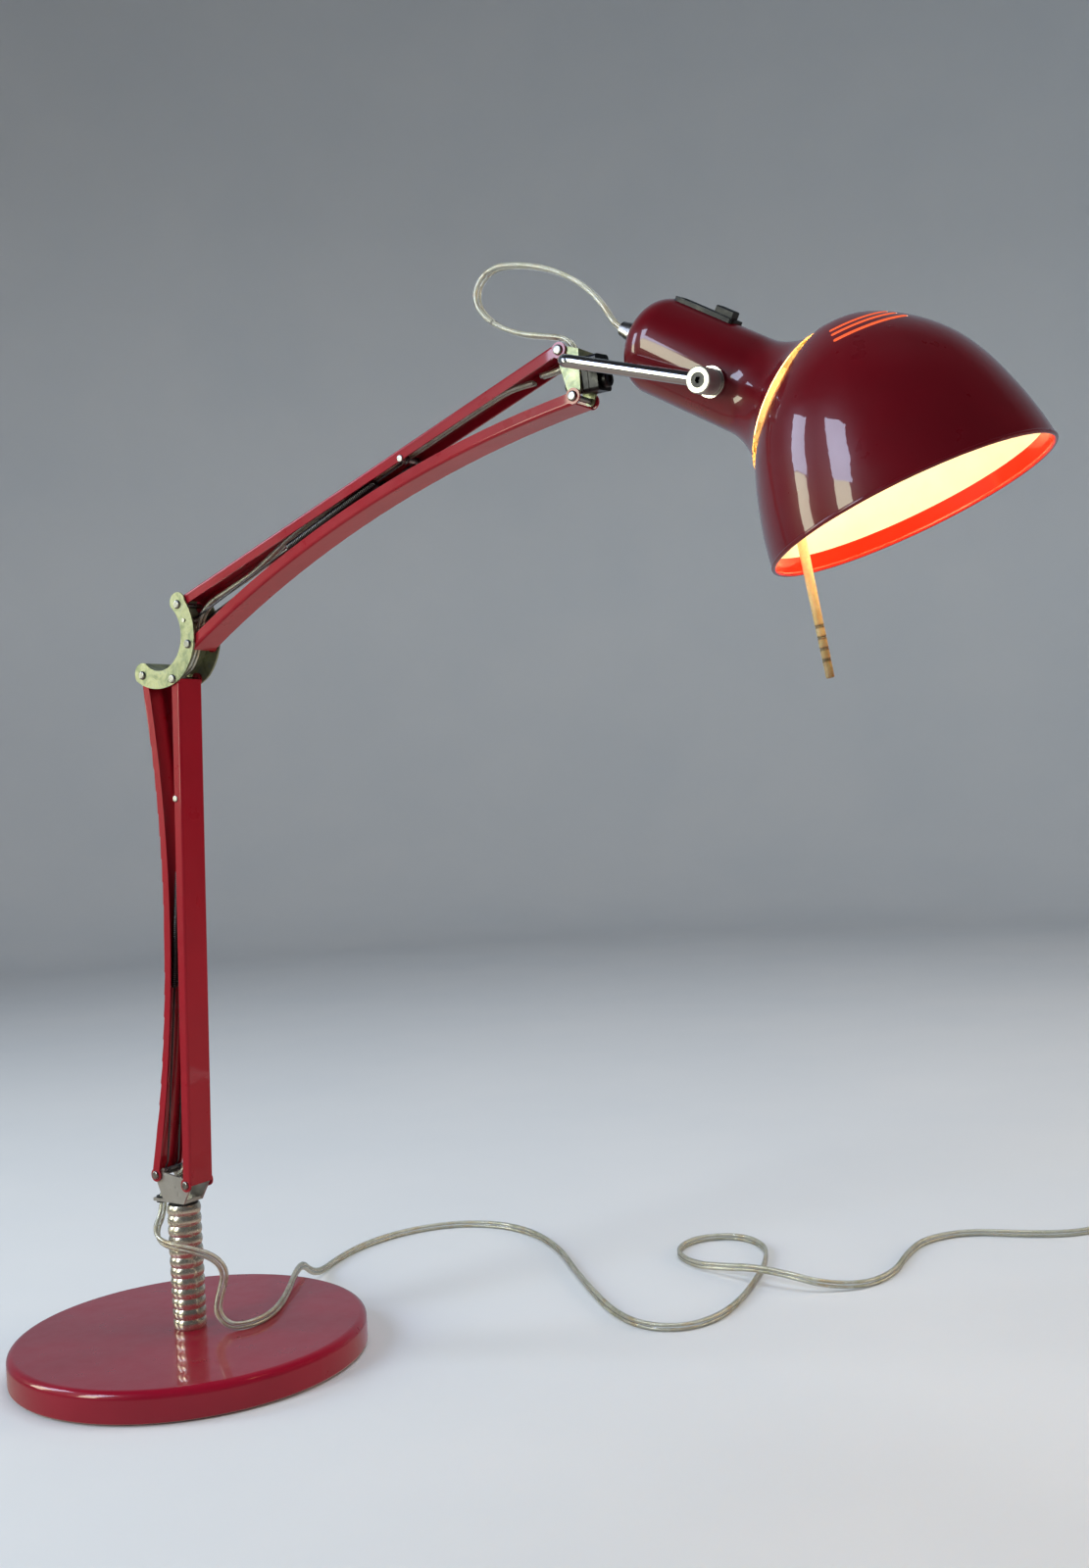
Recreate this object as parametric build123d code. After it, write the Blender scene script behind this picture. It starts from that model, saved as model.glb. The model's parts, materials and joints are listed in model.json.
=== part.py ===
"""Architect desk lamp: round base, ringed post, two sprung parallelogram arms, a U yoke and a domed shade.

Millimetres, +Z up. The origin is the centre of the base's underside, and both arms stand in the XZ plane,
reaching towards +X. Channels, brackets and springs are symmetric about that plane.
"""
from build123d import *
from math import asin, atan2, cos, degrees, hypot, pi, radians, sin, tan
import os

os.makedirs("parts", exist_ok=True)

# ---------------------------------------------------------------- driving dimensions
BASE_RADIUS = 110.0
BASE_TOP = 19.5
FELT = 1.0
POST_RADIUS = 10.5
POST_TOP = 97.5
POST_RINGS = 12
BOLT_RADIUS = 3.0
SPINDLE_RADIUS = 4.0
RUNNING = 0.05                       # radial clearance of a pin that turns in its hole

FOOT_REAR = (-13.2, 116.1)           # pivots as (x, z)
FOOT_FRONT = (13.3, 111.8)
LOWER_LENGTH = 314.4
LOWER_LEAN = 2.8                     # degrees forward of upright
UPPER_TOP_PIVOT = (36.5, 470.8)
UPPER_BOTTOM_PIVOT = (43.8, 445.8)
UPPER_LENGTH = 304.6
UPPER_RISE = 19.0                    # degrees above level

LINK_WIDTH = 19.0
LINK_WALL = 1.0
CORNER_RADIUS = 1.6                  # outside corners of the channel
WEB_OFFSET = 4.2                     # from the pivot line to the web's outer face
FLANGE_OFFSET = 2.2                  # from the pivot line to the free edge
LOBE_RADIUS = 4.2
BOW = 15.5                           # how far the rear and bottom links curve in at mid length
RIVET_RADIUS = 1.5
PIN_OFFSET = 1.2                     # spring pins sit this far from the pivot line, on the open side
OPEN_PIVOT_CLEARANCE = 0.3           # the pivot of each parallelogram that the tree leaves open
BRACKET_HALF = 8.1                   # half width of the foot and head brackets, inside the channels
BRACKET_SHEET = 1.4
ELBOW_HALF = 11.1                    # half width of the elbow bracket, outside the channels
ELBOW_SHEET = 1.2

CROSSBAR = (340.0, 560.8)            # centre of the yoke's crossbar, (x, z)
SWIVEL_AXIS_Z = 552.5
HEAD_ROLL = 6.0                      # degrees that the yoke is turned about the clamp bolt
YOKE_DROP = 17.5                     # degrees that the yoke's legs point below level
YOKE_REACH = 83.0
YOKE_WIDTH = 64.0
ROD_RADIUS = 3.3
ROD_BEND = 7.0
BOSS_RADIUS = 6.4

NECK_DROP = 31.1                     # degrees that the neck's axis points below level
NECK_OFFSET = 3.0                    # neck axis above the tilt axis
NECK_RADIUS = 23.9
NECK_BACK = 60.0
NECK_ROUND = 16.0
FLARE_START = 8.0
FLARE_END = 35.5
FLARE_RADIUS = 37.5
SHEET = 1.1
SHADE_GAP = 4.0
SHADE_RADIUS = 70.2
SHADE_HEIGHT = 92.4
SHADE_TILT = 19.85                   # degrees between the shade's axis and upright
RIM_FROM_TILT = (83.9, -70.4)        # centre of the rim from the tilt axis, (x, z)

CORD_WIDTH = 5.4
CORD_THICK = 2.7


# ---------------------------------------------------------------- helpers
def along(point, angle, distance):
    """The (x, z) point at a distance from point, at an angle above +X in degrees."""
    return (point[0] + distance * cos(radians(angle)), point[1] + distance * sin(radians(angle)))


def rod_y(centre, radius, y_low, y_high):
    """A cylinder parallel to Y through (x, z)."""
    middle = (y_low + y_high) / 2
    return Pos(centre[0], middle, centre[1]) * Rot(90, 0, 0) * Cylinder(radius, y_high - y_low)


def slab(face, y_middle, thickness):
    """A face drawn in (x, z), made into a plate that faces Y."""
    return Pos(0, y_middle, 0) * extrude(Plane.XZ * face, amount=thickness / 2, both=True)


def outline(*edges):
    """The face inside a closed chain of edges."""
    return make_face(Curve() + list(edges))


def rivet(centre, half_length, head_radius=2.7, head_height=1.2, radius=RIVET_RADIUS):
    """A rivet through (x, z), parallel to Y, with a rounded head at each end."""
    shape = rod_y(centre, radius, -half_length, half_length)
    for side in (-1, 1):
        head = rod_y(centre, head_radius, *sorted((side * half_length, side * (half_length + head_height))))
        rims = head.edges().filter_by(GeomType.CIRCLE).sort_by(Axis.Y)
        shape += fillet(rims[-1 if side > 0 else 0], head_height * 0.8)
    return shape


def save(node, shape):
    """Writes one sub-part as a STEP file that has the node's name."""
    shape.label = node
    export_step(shape, f"parts/{node}.step")


def group(*shapes):
    """Separate solids that share one node."""
    return Compound(children=[solid for shape in shapes for solid in shape.solids()])


# ---------------------------------------------------------------- base and post
def base_disc():
    floor = FELT
    profile = FilletPolyline((0, BASE_TOP), (BASE_RADIUS, BASE_TOP), (BASE_RADIUS, floor), (0, floor),
                             radius=[4.6, 1.5])
    disc = revolve(Plane.XZ * outline(profile, Line((0, floor), (0, BASE_TOP))), Axis.Z)
    disc -= Pos(0, 0, floor) * Cylinder(17, 8, align=(Align.CENTER, Align.CENTER, Align.MIN))
    return disc - Cylinder(BOLT_RADIUS + 0.3, 60)


def base_felt():
    return Cylinder(104, FELT, align=(Align.CENTER, Align.CENTER, Align.MIN))


def base_bolt():
    seat = FELT + 8
    head = Pos(0, 0, seat - 6.2) * extrude(RegularPolygon(5.6, 6), 4.6)
    washer = Pos(0, 0, seat - 1.6) * Cylinder(10, 1.6, align=(Align.CENTER, Align.CENTER, Align.MIN))
    shank = Pos(0, 0, seat - 1.6) * Cylinder(BOLT_RADIUS, 29, align=(Align.CENTER, Align.CENTER, Align.MIN))
    return head + washer + shank


def post_tube():
    pitch = (POST_TOP - BASE_TOP) / POST_RINGS
    rings = [
        ThreePointArc((POST_RADIUS - 0.9, BASE_TOP + n * pitch), (POST_RADIUS, BASE_TOP + (n + 0.5) * pitch),
                      (POST_RADIUS - 0.9, BASE_TOP + (n + 1) * pitch))
        for n in range(POST_RINGS)
    ]
    edge = POST_RADIUS - 0.9
    sides = Polyline((edge, POST_TOP), (0, POST_TOP), (0, BASE_TOP), (edge, BASE_TOP))
    post = revolve(Plane.XZ * outline(*rings, sides), Axis.Z)
    post -= Pos(0, 0, 42) * Cylinder(6.5, 60, align=(Align.CENTER, Align.CENTER, Align.MIN))
    return post - Pos(0, 0, BASE_TOP) * Cylinder(BOLT_RADIUS + RUNNING, 44)


def post_bush():
    bush = Pos(0, 0, 70) * Cylinder(6.45, POST_TOP - 70, align=(Align.CENTER, Align.CENTER, Align.MIN))
    bush += Pos(0, 0, POST_TOP) * Cylinder(9, 1.2, align=(Align.CENTER, Align.CENTER, Align.MIN))
    return bush - Pos(0, 0, 80) * Cylinder(SPINDLE_RADIUS + RUNNING, 60)


# ---------------------------------------------------------------- foot
FOOT_PLATE_LOW = POST_TOP + 1.7
FOOT_PLATE = 2.0
FOOT_SPRING_PIN = (-8.0, 119.5)
CORD_EXIT = (-14.0, -4.0)            # (x, y) where the mains cord leaves the foot, pointing down


def foot_spindle():
    low = 66.0
    pin = Pos(0, 0, low) * Cylinder(SPINDLE_RADIUS, FOOT_PLATE_LOW - low,
                                    align=(Align.CENTER, Align.CENTER, Align.MIN))
    groove = Cylinder(SPINDLE_RADIUS + 1, 1.0) - Cylinder(SPINDLE_RADIUS - 0.6, 1.0)
    return pin - Pos(0, 0, 68.6) * groove


def foot_clip():
    ring = Cylinder(5.9, 0.9) - Cylinder(SPINDLE_RADIUS - 0.6 + RUNNING, 0.9)
    return Pos(0, 0, 68.6) * (ring - Pos(5, 0, 0) * Box(10, 3, 2))


def bracket_side(pivots, radius, base):
    """The hull of a circle at each pivot and of the corners of the bracket's base."""
    circles = Sketch() + [Pos(*p) * Circle(radius) for p in pivots] + [Pos(*p) * Circle(0.5) for p in base]
    return make_hull(circles.edges())


def foot_bracket():
    corners = ((-8.5, FOOT_PLATE_LOW + 0.5), (8.5, FOOT_PLATE_LOW + 0.5))
    side = bracket_side((FOOT_REAR, FOOT_FRONT), 2.7, corners)
    y = BRACKET_HALF - BRACKET_SHEET / 2
    body = slab(side, y, BRACKET_SHEET) + slab(side, -y, BRACKET_SHEET)
    middle = FOOT_PLATE_LOW + FOOT_PLATE / 2
    body += Pos(0, 0, middle) * Box(18, 2 * BRACKET_HALF, FOOT_PLATE)
    body += Pos(-13.3, CORD_EXIT[1], middle) * Box(10, 8.4, FOOT_PLATE)
    body -= Pos(*CORD_EXIT, middle) * Cylinder(3.6, 10)
    for centre in (FOOT_REAR, FOOT_FRONT):
        body -= rod_y(centre, RIVET_RADIUS + RUNNING, -20, 20)
    return body - rod_y(FOOT_SPRING_PIN, 1.2, -20, 20)


def foot_grommet():
    low = FOOT_PLATE_LOW
    neck = Pos(*CORD_EXIT, low - 0.9) * Cylinder(3.55, FOOT_PLATE + 1.8,
                                                 align=(Align.CENTER, Align.CENTER, Align.MIN))
    for z in (low - 0.9, low + FOOT_PLATE):
        neck += Pos(*CORD_EXIT, z) * Cylinder(4.1, 0.9, align=(Align.CENTER, Align.CENTER, Align.MIN))
    return neck


# ---------------------------------------------------------------- arm links
def channel_section():
    """U section with rounded web corners: x runs from web to free edge, y across the channel."""
    half = LINK_WIDTH / 2
    inner = half - LINK_WALL
    outer_path = FilletPolyline((FLANGE_OFFSET, -half), (-WEB_OFFSET, -half), (-WEB_OFFSET, half),
                                (FLANGE_OFFSET, half), radius=CORNER_RADIUS)
    inside = LINK_WALL - WEB_OFFSET
    inner_path = FilletPolyline((FLANGE_OFFSET, inner), (inside, inner), (inside, -inner),
                                (FLANGE_OFFSET, -inner), radius=CORNER_RADIUS - LINK_WALL)
    return outline(outer_path, inner_path, Line((FLANGE_OFFSET, half), (FLANGE_OFFSET, inner)),
                   Line((FLANGE_OFFSET, -inner), (FLANGE_OFFSET, -half)))


def bowed_channel(length, bow):
    """The channel along an arc that rises by bow at mid length, as a wide sector less a narrower one."""
    radius = (length ** 2 / 4 + bow ** 2) / (2 * bow)
    half_turn = degrees(asin(length / 2 / radius))
    start = 90 + half_turn

    def sector(inner, outer, width, spare):
        arcs = [CenterArc((0, 0), r, start + spare, -2 * (half_turn + spare)) for r in (inner, outer)]
        ends = [Line(arcs[0] @ k, arcs[1] @ k) for k in (0, 1)]
        return slab(Pos(length / 2, bow - radius) * outline(*arcs, *ends), 0, width)

    web = radius - WEB_OFFSET
    body = sector(web, radius + FLANGE_OFFSET, LINK_WIDTH, 0)
    corners = body.edges().filter_by(GeomType.CIRCLE).sort_by(lambda edge: edge.radius)[:2]
    body = fillet(corners, CORNER_RADIUS)
    space = sector(web + LINK_WALL, radius + FLANGE_OFFSET + 2, LINK_WIDTH - 2 * LINK_WALL, 1)
    inner_corners = space.edges().filter_by(GeomType.CIRCLE).sort_by(lambda edge: edge.radius)[:2]
    return body - fillet(inner_corners, CORNER_RADIUS - LINK_WALL)


def link(start, end, bow, web_left, hole_start, hole_end, spring_pin=None):
    """A channel from pivot to pivot. It is drawn along +X with its open side up, then turned into place."""
    length = hypot(end[0] - start[0], end[1] - start[1])
    if bow:
        body = bowed_channel(length, bow)
    else:
        plane = Plane((0, 0, 0), x_dir=(0, 0, 1), z_dir=(1, 0, 0))
        body = sweep(plane * channel_section(), path=Line((0, 0, 0), (length, 0, 0)))
    flange = LINK_WIDTH / 2 - LINK_WALL / 2
    for s, hole in ((0, hole_start), (length, hole_end)):
        for y in (-flange, flange):
            body += rod_y((s, 0), LOBE_RADIUS, y - LINK_WALL / 2, y + LINK_WALL / 2)
        body -= rod_y((s, 0), hole, -20, 20)
    if spring_pin:
        body -= rod_y((spring_pin, PIN_OFFSET), 1.2, -20, 20)
    angle = degrees(atan2(end[1] - start[1], end[0] - start[0]))
    return Pos(start[0], 0, start[1]) * Rot(0, -angle, 0) * Rot(180 if web_left else 0, 0, 0) * body


LOWER_ANGLE = 90 - LOWER_LEAN
ELBOW_REAR = along(FOOT_REAR, LOWER_ANGLE, LOWER_LENGTH)
ELBOW_FRONT = along(FOOT_FRONT, LOWER_ANGLE, LOWER_LENGTH)
HEAD_TOP = along(UPPER_TOP_PIVOT, UPPER_RISE, UPPER_LENGTH)
HEAD_BOTTOM = along(UPPER_BOTTOM_PIVOT, UPPER_RISE, UPPER_LENGTH)
LOWER_PIN_AT = 240.5                 # along the front link
UPPER_PIN_AT = 190.0                 # along the top link
ELBOW_SPRING_PIN = (41.5, 460.5)
LOWER_SPRING_PIN = along(along(FOOT_FRONT, LOWER_ANGLE, LOWER_PIN_AT), LOWER_ANGLE + 90, PIN_OFFSET)
UPPER_SPRING_PIN = along(along(UPPER_TOP_PIVOT, UPPER_RISE, UPPER_PIN_AT), UPPER_RISE - 90, PIN_OFFSET)
SPRING_Y = 4.3


def springs(low, high, coil_from, coil_to):
    """Two balance springs side by side as outer shapes: a coil with a straight wire to each pin."""
    angle = degrees(atan2(high[1] - low[1], high[0] - low[0]))
    length = hypot(high[0] - low[0], high[1] - low[1])
    hook = 2.4
    shape = Rot(0, 90, 0) * Pos(0, 0, length / 2) * Cylinder(0.6, length - 2 * hook)
    shape += Rot(0, 90, 0) * Pos(0, 0, (coil_from + coil_to) / 2) * Cylinder(3.0, coil_to - coil_from)
    for s in (0, length):
        shape += Pos(s, 0, 0) * Rot(90, 0, 0) * Torus(2.0, 0.6)
    return group(*[Pos(low[0], y, low[1]) * Rot(0, -angle, 0) * shape for y in (-SPRING_Y, SPRING_Y)])


# ---------------------------------------------------------------- elbow
def elbow_bracket():
    """Two crescent plates joined by a web along their hollow edge."""
    outer = (
        ThreePointArc((-2.8, 426.6), (17, 420.6), (37, 426.5)),
        ThreePointArc((37, 426.5), (49.2, 448), (43, 472.5)),
        ThreePointArc((43, 472.5), (37.4, 478.2), (30.4, 470)),
    )
    tip = ThreePointArc((5.5, 437), (-3.4, 434.6), (-2.8, 426.6))
    inner_points = ((30.4, 470), (38.4, 453), (31.5, 437)), ((31.5, 437), (18.5, 431.6), (5.5, 437))
    inner = [ThreePointArc(*p) for p in inner_points]
    solid = slab(outline(*outer, *inner, tip), 0, 2 * ELBOW_HALF)
    step = ELBOW_SHEET
    wall = [ThreePointArc((30.4 + step, 470 - step * 0.4), (38.4 + step, 453), (31.5 + step, 437 - step)),
            ThreePointArc((31.5 + step, 437 - step), (18.5, 431.6 - step), (5.5, 437 - step))]
    far = Polyline((5.5, 437 - step), (-20, 437 - step), (-20, 400), (80, 400), (80, 500), (31.6, 500),
                   (31.6, 470 - step * 0.4))
    solid -= slab(outline(*wall, far), 0, 2 * (ELBOW_HALF - ELBOW_SHEET))
    for centre in (ELBOW_REAR, ELBOW_FRONT, UPPER_TOP_PIVOT, UPPER_BOTTOM_PIVOT):
        solid -= rod_y(centre, RIVET_RADIUS + 0.02, -20, 20)
    return solid - rod_y(ELBOW_SPRING_PIN, 1.2, -20, 20)


# ---------------------------------------------------------------- head bracket and clamp
WEB_X = 334.5
WEB_SHEET = 1.4
CLAMP_SPLIT = 340.0
CLAMP_FRONT = 345.5
BOLT_AXIS = Pos(0, 0, SWIVEL_AXIS_Z)


def rod_x(radius, x_low, x_high, y=0.0, z=0.0):
    """A cylinder parallel to X."""
    return Pos((x_low + x_high) / 2, y, z) * Rot(0, 90, 0) * Cylinder(radius, x_high - x_low)


def head_bracket():
    low, high = 548.6, 569.0
    corners = ((WEB_X + 0.9, low + 0.5), (WEB_X + 0.9, high - 0.5))
    side = bracket_side((HEAD_TOP, HEAD_BOTTOM), 2.7, corners)
    y = BRACKET_HALF - BRACKET_SHEET / 2
    body = slab(side, y, BRACKET_SHEET) + slab(side, -y, BRACKET_SHEET)
    body += Pos(WEB_X + WEB_SHEET / 2, 0, (low + high) / 2) * Box(WEB_SHEET, 2 * BRACKET_HALF, high - low)
    body -= BOLT_AXIS * rod_x(2.5 + RUNNING, 330, 340)
    for centre, hole in ((HEAD_TOP, RIVET_RADIUS + RUNNING), (HEAD_BOTTOM, RIVET_RADIUS + RUNNING)):
        body -= rod_y(centre, hole, -20, 20)
    return body


def clamp_block(x_low, x_high, z_low, z_high, half_width):
    """One half of the clamp: a rounded block with half of the crossbar's hole and the bolt's hole."""
    block = Pos((x_low + x_high) / 2, 0, (z_low + z_high) / 2) * Box(x_high - x_low, 2 * half_width,
                                                                    z_high - z_low)
    block = fillet(block.edges().filter_by(Axis.X), 2.0)
    block -= rod_y(CROSSBAR, ROD_RADIUS + RUNNING, -20, 20)
    return block - BOLT_AXIS * rod_x(2.5 + RUNNING, 330, 350)


def clamp_bolt():
    head = BOLT_AXIS * rod_x(4.2, CLAMP_FRONT, CLAMP_FRONT + 3.4)
    head = chamfer(head.edges().group_by(Axis.X)[-1], 0.6)
    socket = Pos(CLAMP_FRONT + 2.6, 0, SWIVEL_AXIS_Z) * Rot(0, 90, 0) * extrude(RegularPolygon(2.0, 6), 2.0)
    return head + BOLT_AXIS * rod_x(2.5, 323.0, CLAMP_FRONT) - socket


def clamp_nut():
    nut = Pos(WEB_X - 5.2, 0, SWIVEL_AXIS_Z) * Rot(0, 90, 0) * extrude(RegularPolygon(4.6, 6), 4.2)
    return nut - BOLT_AXIS * rod_x(2.5 + RUNNING, 320, 340)


def clamp_washer():
    ring = BOLT_AXIS * rod_x(5.2, WEB_X - 0.95, WEB_X - 0.05)
    return ring - BOLT_AXIS * rod_x(2.5 + RUNNING, 320, 340)


# ---------------------------------------------------------------- yoke, neck and shade
TILT = along(CROSSBAR, -YOKE_DROP, YOKE_REACH)
ROLL = Pos(0, 0, SWIVEL_AXIS_Z) * Rot(HEAD_ROLL, 0, 0) * Pos(0, 0, -SWIVEL_AXIS_Z)
NECK_START = along(TILT, 90 - NECK_DROP, NECK_OFFSET)
NECK = Pos(NECK_START[0], 0, NECK_START[1]) * Rot(0, 90 + NECK_DROP, 0)     # local +Z runs out of the neck
RIM = (TILT[0] + RIM_FROM_TILT[0], TILT[1] + RIM_FROM_TILT[1])
SHADE = Pos(RIM[0], 0, RIM[1]) * Rot(0, -SHADE_TILT, 0)                     # local +Z runs up the dome
BOSS_INNER = 25.9
BOSS_FACE = YOKE_WIDTH / 2 + BOSS_RADIUS
SIDES = {"near": -1, "far": 1}


def yoke_rod():
    half = YOKE_WIDTH / 2
    reach = YOKE_REACH - 3.0
    path = FilletPolyline((reach, -half, 0), (0, -half, 0), (0, half, 0), (reach, half, 0), radius=ROD_BEND)
    section = Plane((reach, -half, 0), z_dir=(-1, 0, 0)) * Circle(ROD_RADIUS)
    rod = sweep(section, path=path)
    return Pos(CROSSBAR[0], 0, CROSSBAR[1]) * Rot(0, YOKE_DROP, 0) * rod


def yoke_boss(side):
    """A turned boss that takes a leg of the yoke in a cross hole and a screw along its axis."""
    leg = Pos(CROSSBAR[0], 0, CROSSBAR[1]) * Rot(0, YOKE_DROP, 0)
    boss = rod_y(TILT, BOSS_RADIUS, *sorted((side * BOSS_INNER, side * BOSS_FACE)))
    boss = chamfer(boss.edges().filter_by(GeomType.CIRCLE), 0.5)
    boss -= leg * Pos(YOKE_REACH - 23, side * YOKE_WIDTH / 2, 0) * Rot(0, 90, 0) * Cylinder(ROD_RADIUS, 40)
    boss -= rod_y(TILT, 2.0 + RUNNING, *sorted((side * (BOSS_INNER - 1), side * (BOSS_FACE + 1))))
    return boss - rod_y(TILT, 3.6, *sorted((side * (BOSS_FACE - 2.2), side * (BOSS_FACE + 1))))


def boss_screw(side):
    head = rod_y(TILT, 3.5, *sorted((side * (BOSS_FACE - 2.2), side * (BOSS_FACE - 0.2))))
    shank = rod_y(TILT, 2.0, *sorted((side * 20.0, side * (BOSS_FACE - 2.2))))
    hexagon = extrude(RegularPolygon(1.7, 6), 1.2, both=True)
    return head + shank - Pos(TILT[0], side * (BOSS_FACE - 0.8), TILT[1]) * Rot(90, 0, 0) * hexagon


def boss_washer(side):
    ring = rod_y(TILT, BOSS_RADIUS + 1.0, *sorted((side * 24.5, side * (BOSS_INNER - 0.1))))
    return ring - rod_y(TILT, 2.0 + RUNNING, *sorted((side * 20, side * 30)))


def neck_profile(shrink):
    """Half outline of the neck about its axis: rounded back, straight barrel and a bell at the front."""
    radius = NECK_RADIUS - shrink
    back = -NECK_BACK + shrink
    corner = NECK_ROUND - shrink
    lip = FLARE_RADIUS - shrink
    bell = (FLARE_END - 13, radius + 3.6)
    turn = (back + corner * (1 - cos(pi / 4)), radius - corner * (1 - sin(pi / 4)))
    return [
        Line((0, back), (radius - corner, back)),
        ThreePointArc((radius - corner, back), (turn[1], turn[0]), (radius, back + corner)),
        Line((radius, back + corner), (radius, FLARE_START)),
        Spline((radius, FLARE_START), (bell[1], bell[0]), (lip, FLARE_END), tangents=((0, 1), (0.78, 0.62))),
    ]


def turned(edges, front):
    """A solid of revolution about local Z, from half-outline edges closed at the front."""
    last = edges[-1] @ 1
    first = edges[0] @ 0
    closing = Polyline((last.X, last.Y), (0, front), (first.X, first.Y))
    return revolve(Plane.XZ * outline(*edges, closing), Axis.Z)


def neck_shell():
    """The shell is open at the front; it has a slot for the switch, a gland hole and two screw holes."""
    shell = turned(neck_profile(0), FLARE_END) - turned(neck_profile(SHEET), FLARE_END + 0.001)
    shell -= Pos(0, 0, -NECK_BACK) * Cylinder(4.05, 8)
    shell = NECK * shell
    shell -= rod_y(TILT, 2.0 + RUNNING, -60, 60)
    slot = Box(8, SWITCH_WIDTH + 0.1, SWITCH_LENGTH + 0.1)
    return shell - NECK * Pos(-NECK_RADIUS, 0, SWITCH_AT) * slot


def shade_profile(radius, height):
    """Half outline of the dome: a steep lower wall that rounds over to the crown."""
    return Spline((radius, 0), (radius * 0.907, height * 0.345), (radius * 0.679, height * 0.716),
                  (radius * 0.333, height * 0.949), (0, height), tangents=((-0.1, 1), (-1, 0)))


def dome(radius, height):
    return revolve(Plane.XZ * outline(shade_profile(radius, height), Polyline((0, height), (0, 0), (radius, 0))),
                   Axis.Z)


VENT_RADII = (31.0, 35.0, 39.5)      # three curved slots round the crown, on each side of the dome
VENT_WIDTH = 1.8
VENT_START = 18.0                    # degrees from the front
VENT_SWEEP = 54.0


def neck_side():
    """The space behind the plane where the shade is cut away for the neck."""
    return NECK * Pos(0, 0, FLARE_END + SHADE_GAP - 100) * Box(300, 300, 200)


def shade_shell(outer, inner_gap):
    shell = dome(SHADE_RADIUS - outer, SHADE_HEIGHT - outer)
    shell -= dome(SHADE_RADIUS - outer - inner_gap, SHADE_HEIGHT - outer - inner_gap)
    return shell


def shade_dome():
    shell = shade_shell(0, SHEET)
    shell += Torus(SHADE_RADIUS - 0.7, 1.1)
    for radius in VENT_RADII:
        for side in (-1, 1):
            slot = SlotArc(CenterArc((0, 0), radius, side * VENT_START, side * VENT_SWEEP), VENT_WIDTH)
            shell -= Pos(0, 0, SHADE_HEIGHT - 30) * extrude(slot, 40)
    return SHADE * shell - neck_side()


HOLDER_FRONT = 30.0


def holder_plate():
    """A round plate that spans the neck's bell and is held between the lamp holder and its ring."""
    plate = Pos(0, 0, 20) * Cylinder(30, 1.2) - Pos(0, 0, 20) * Cylinder(14.05, 4)
    return NECK * (plate & turned(neck_profile(SHEET + 0.02), FLARE_END))


UPPER_ARM_ROUTE = ((23.5, 20.65), (35.2, 38), (48, 47))
LOWER_ARM_ROUTE = ((-23.5, 20.65), (-34.6, 38), (-52, 46))


def shade_arm(route):
    """A strap from the holder's plate across the gap to the shade, drawn as (height, distance) off the neck."""
    face = trace(Polyline(*[(-height, s) for height, s in route]), line_width=1.2)
    foot = Pos(-route[0][0], route[0][1] - 5) * Rectangle(8, 10)
    strap = NECK * slab(face - foot, 0, 8)
    inside = SHADE * dome(SHADE_RADIUS - SHEET, SHADE_HEIGHT - SHEET)
    return strap & (inside + neck_side())


def lamp_holder():
    body = Pos(0, 0, -8) * Cylinder(14.0, HOLDER_FRONT + 8, align=(Align.CENTER, Align.CENTER, Align.MIN))
    body = fillet(body.edges().group_by(Axis.Z)[0], 2.0)
    return NECK * (body - Pos(0, 0, 6) * Cylinder(12.3, 30, align=(Align.CENTER, Align.CENTER, Align.MIN)))


def bulb_cap():
    return NECK * Pos(0, 0, 8) * Cylinder(12.0, 24, align=(Align.CENTER, Align.CENTER, Align.MIN))


def bulb_glass():
    bulb = outline(
        Polyline((0, 32), (11.5, 32), (12.5, 36)),
        Spline((12.5, 36), (16.5, 46), (22.5, 62), tangents=((0.1, 1), (0, 1))),
        ThreePointArc((22.5, 62), (22.5 * cos(pi / 4), 62 + 22.5 * sin(pi / 4)), (0, 84.5)),
        Line((0, 84.5), (0, 32)),
    )
    return NECK * revolve(Plane.XZ * bulb, Axis.Z)


SWITCH_AT = -28.5
SWITCH_LENGTH = 35.0
SWITCH_WIDTH = 12.0
SLIDER_AT = -18.6                    # the slider travels 12 mm back from here


def switch_frame():
    frame = Pos(-NECK_RADIUS + 0.2, 0, SWITCH_AT) * Box(3.0, SWITCH_WIDTH, SWITCH_LENGTH)
    frame = fillet(frame.edges().filter_by(Axis.X), 2.0)
    return NECK * (frame - Pos(-NECK_RADIUS - 1.5, 0, SWITCH_AT) * Box(3.2, 7.4, SWITCH_LENGTH - 4))


def switch_slider():
    base = Pos(-NECK_RADIUS - 0.45, 0, SLIDER_AT) * Box(0.9, 6.8, 11)
    knob = Pos(-NECK_RADIUS - 2.9, 0, SLIDER_AT) * Box(4.2, 6.4, 10)
    return NECK * (base + fillet(knob.edges().group_by(Axis.X)[0], 0.7))


def cable_gland():
    cone = Pos(0, 0, -NECK_BACK - 11.5) * Cone(3.6, 6.0, 11.5, align=(Align.CENTER, Align.CENTER, Align.MIN))
    thread = Pos(0, 0, -NECK_BACK) * Cylinder(4.0, 5, align=(Align.CENTER, Align.CENTER, Align.MIN))
    return NECK * (cone + thread)


ROD_TOP = (TILT[0] + 26.2, TILT[1] - 74.0)
ROD_TIP = (TILT[0] + 34.6, TILT[1] - 145.8)


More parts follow.
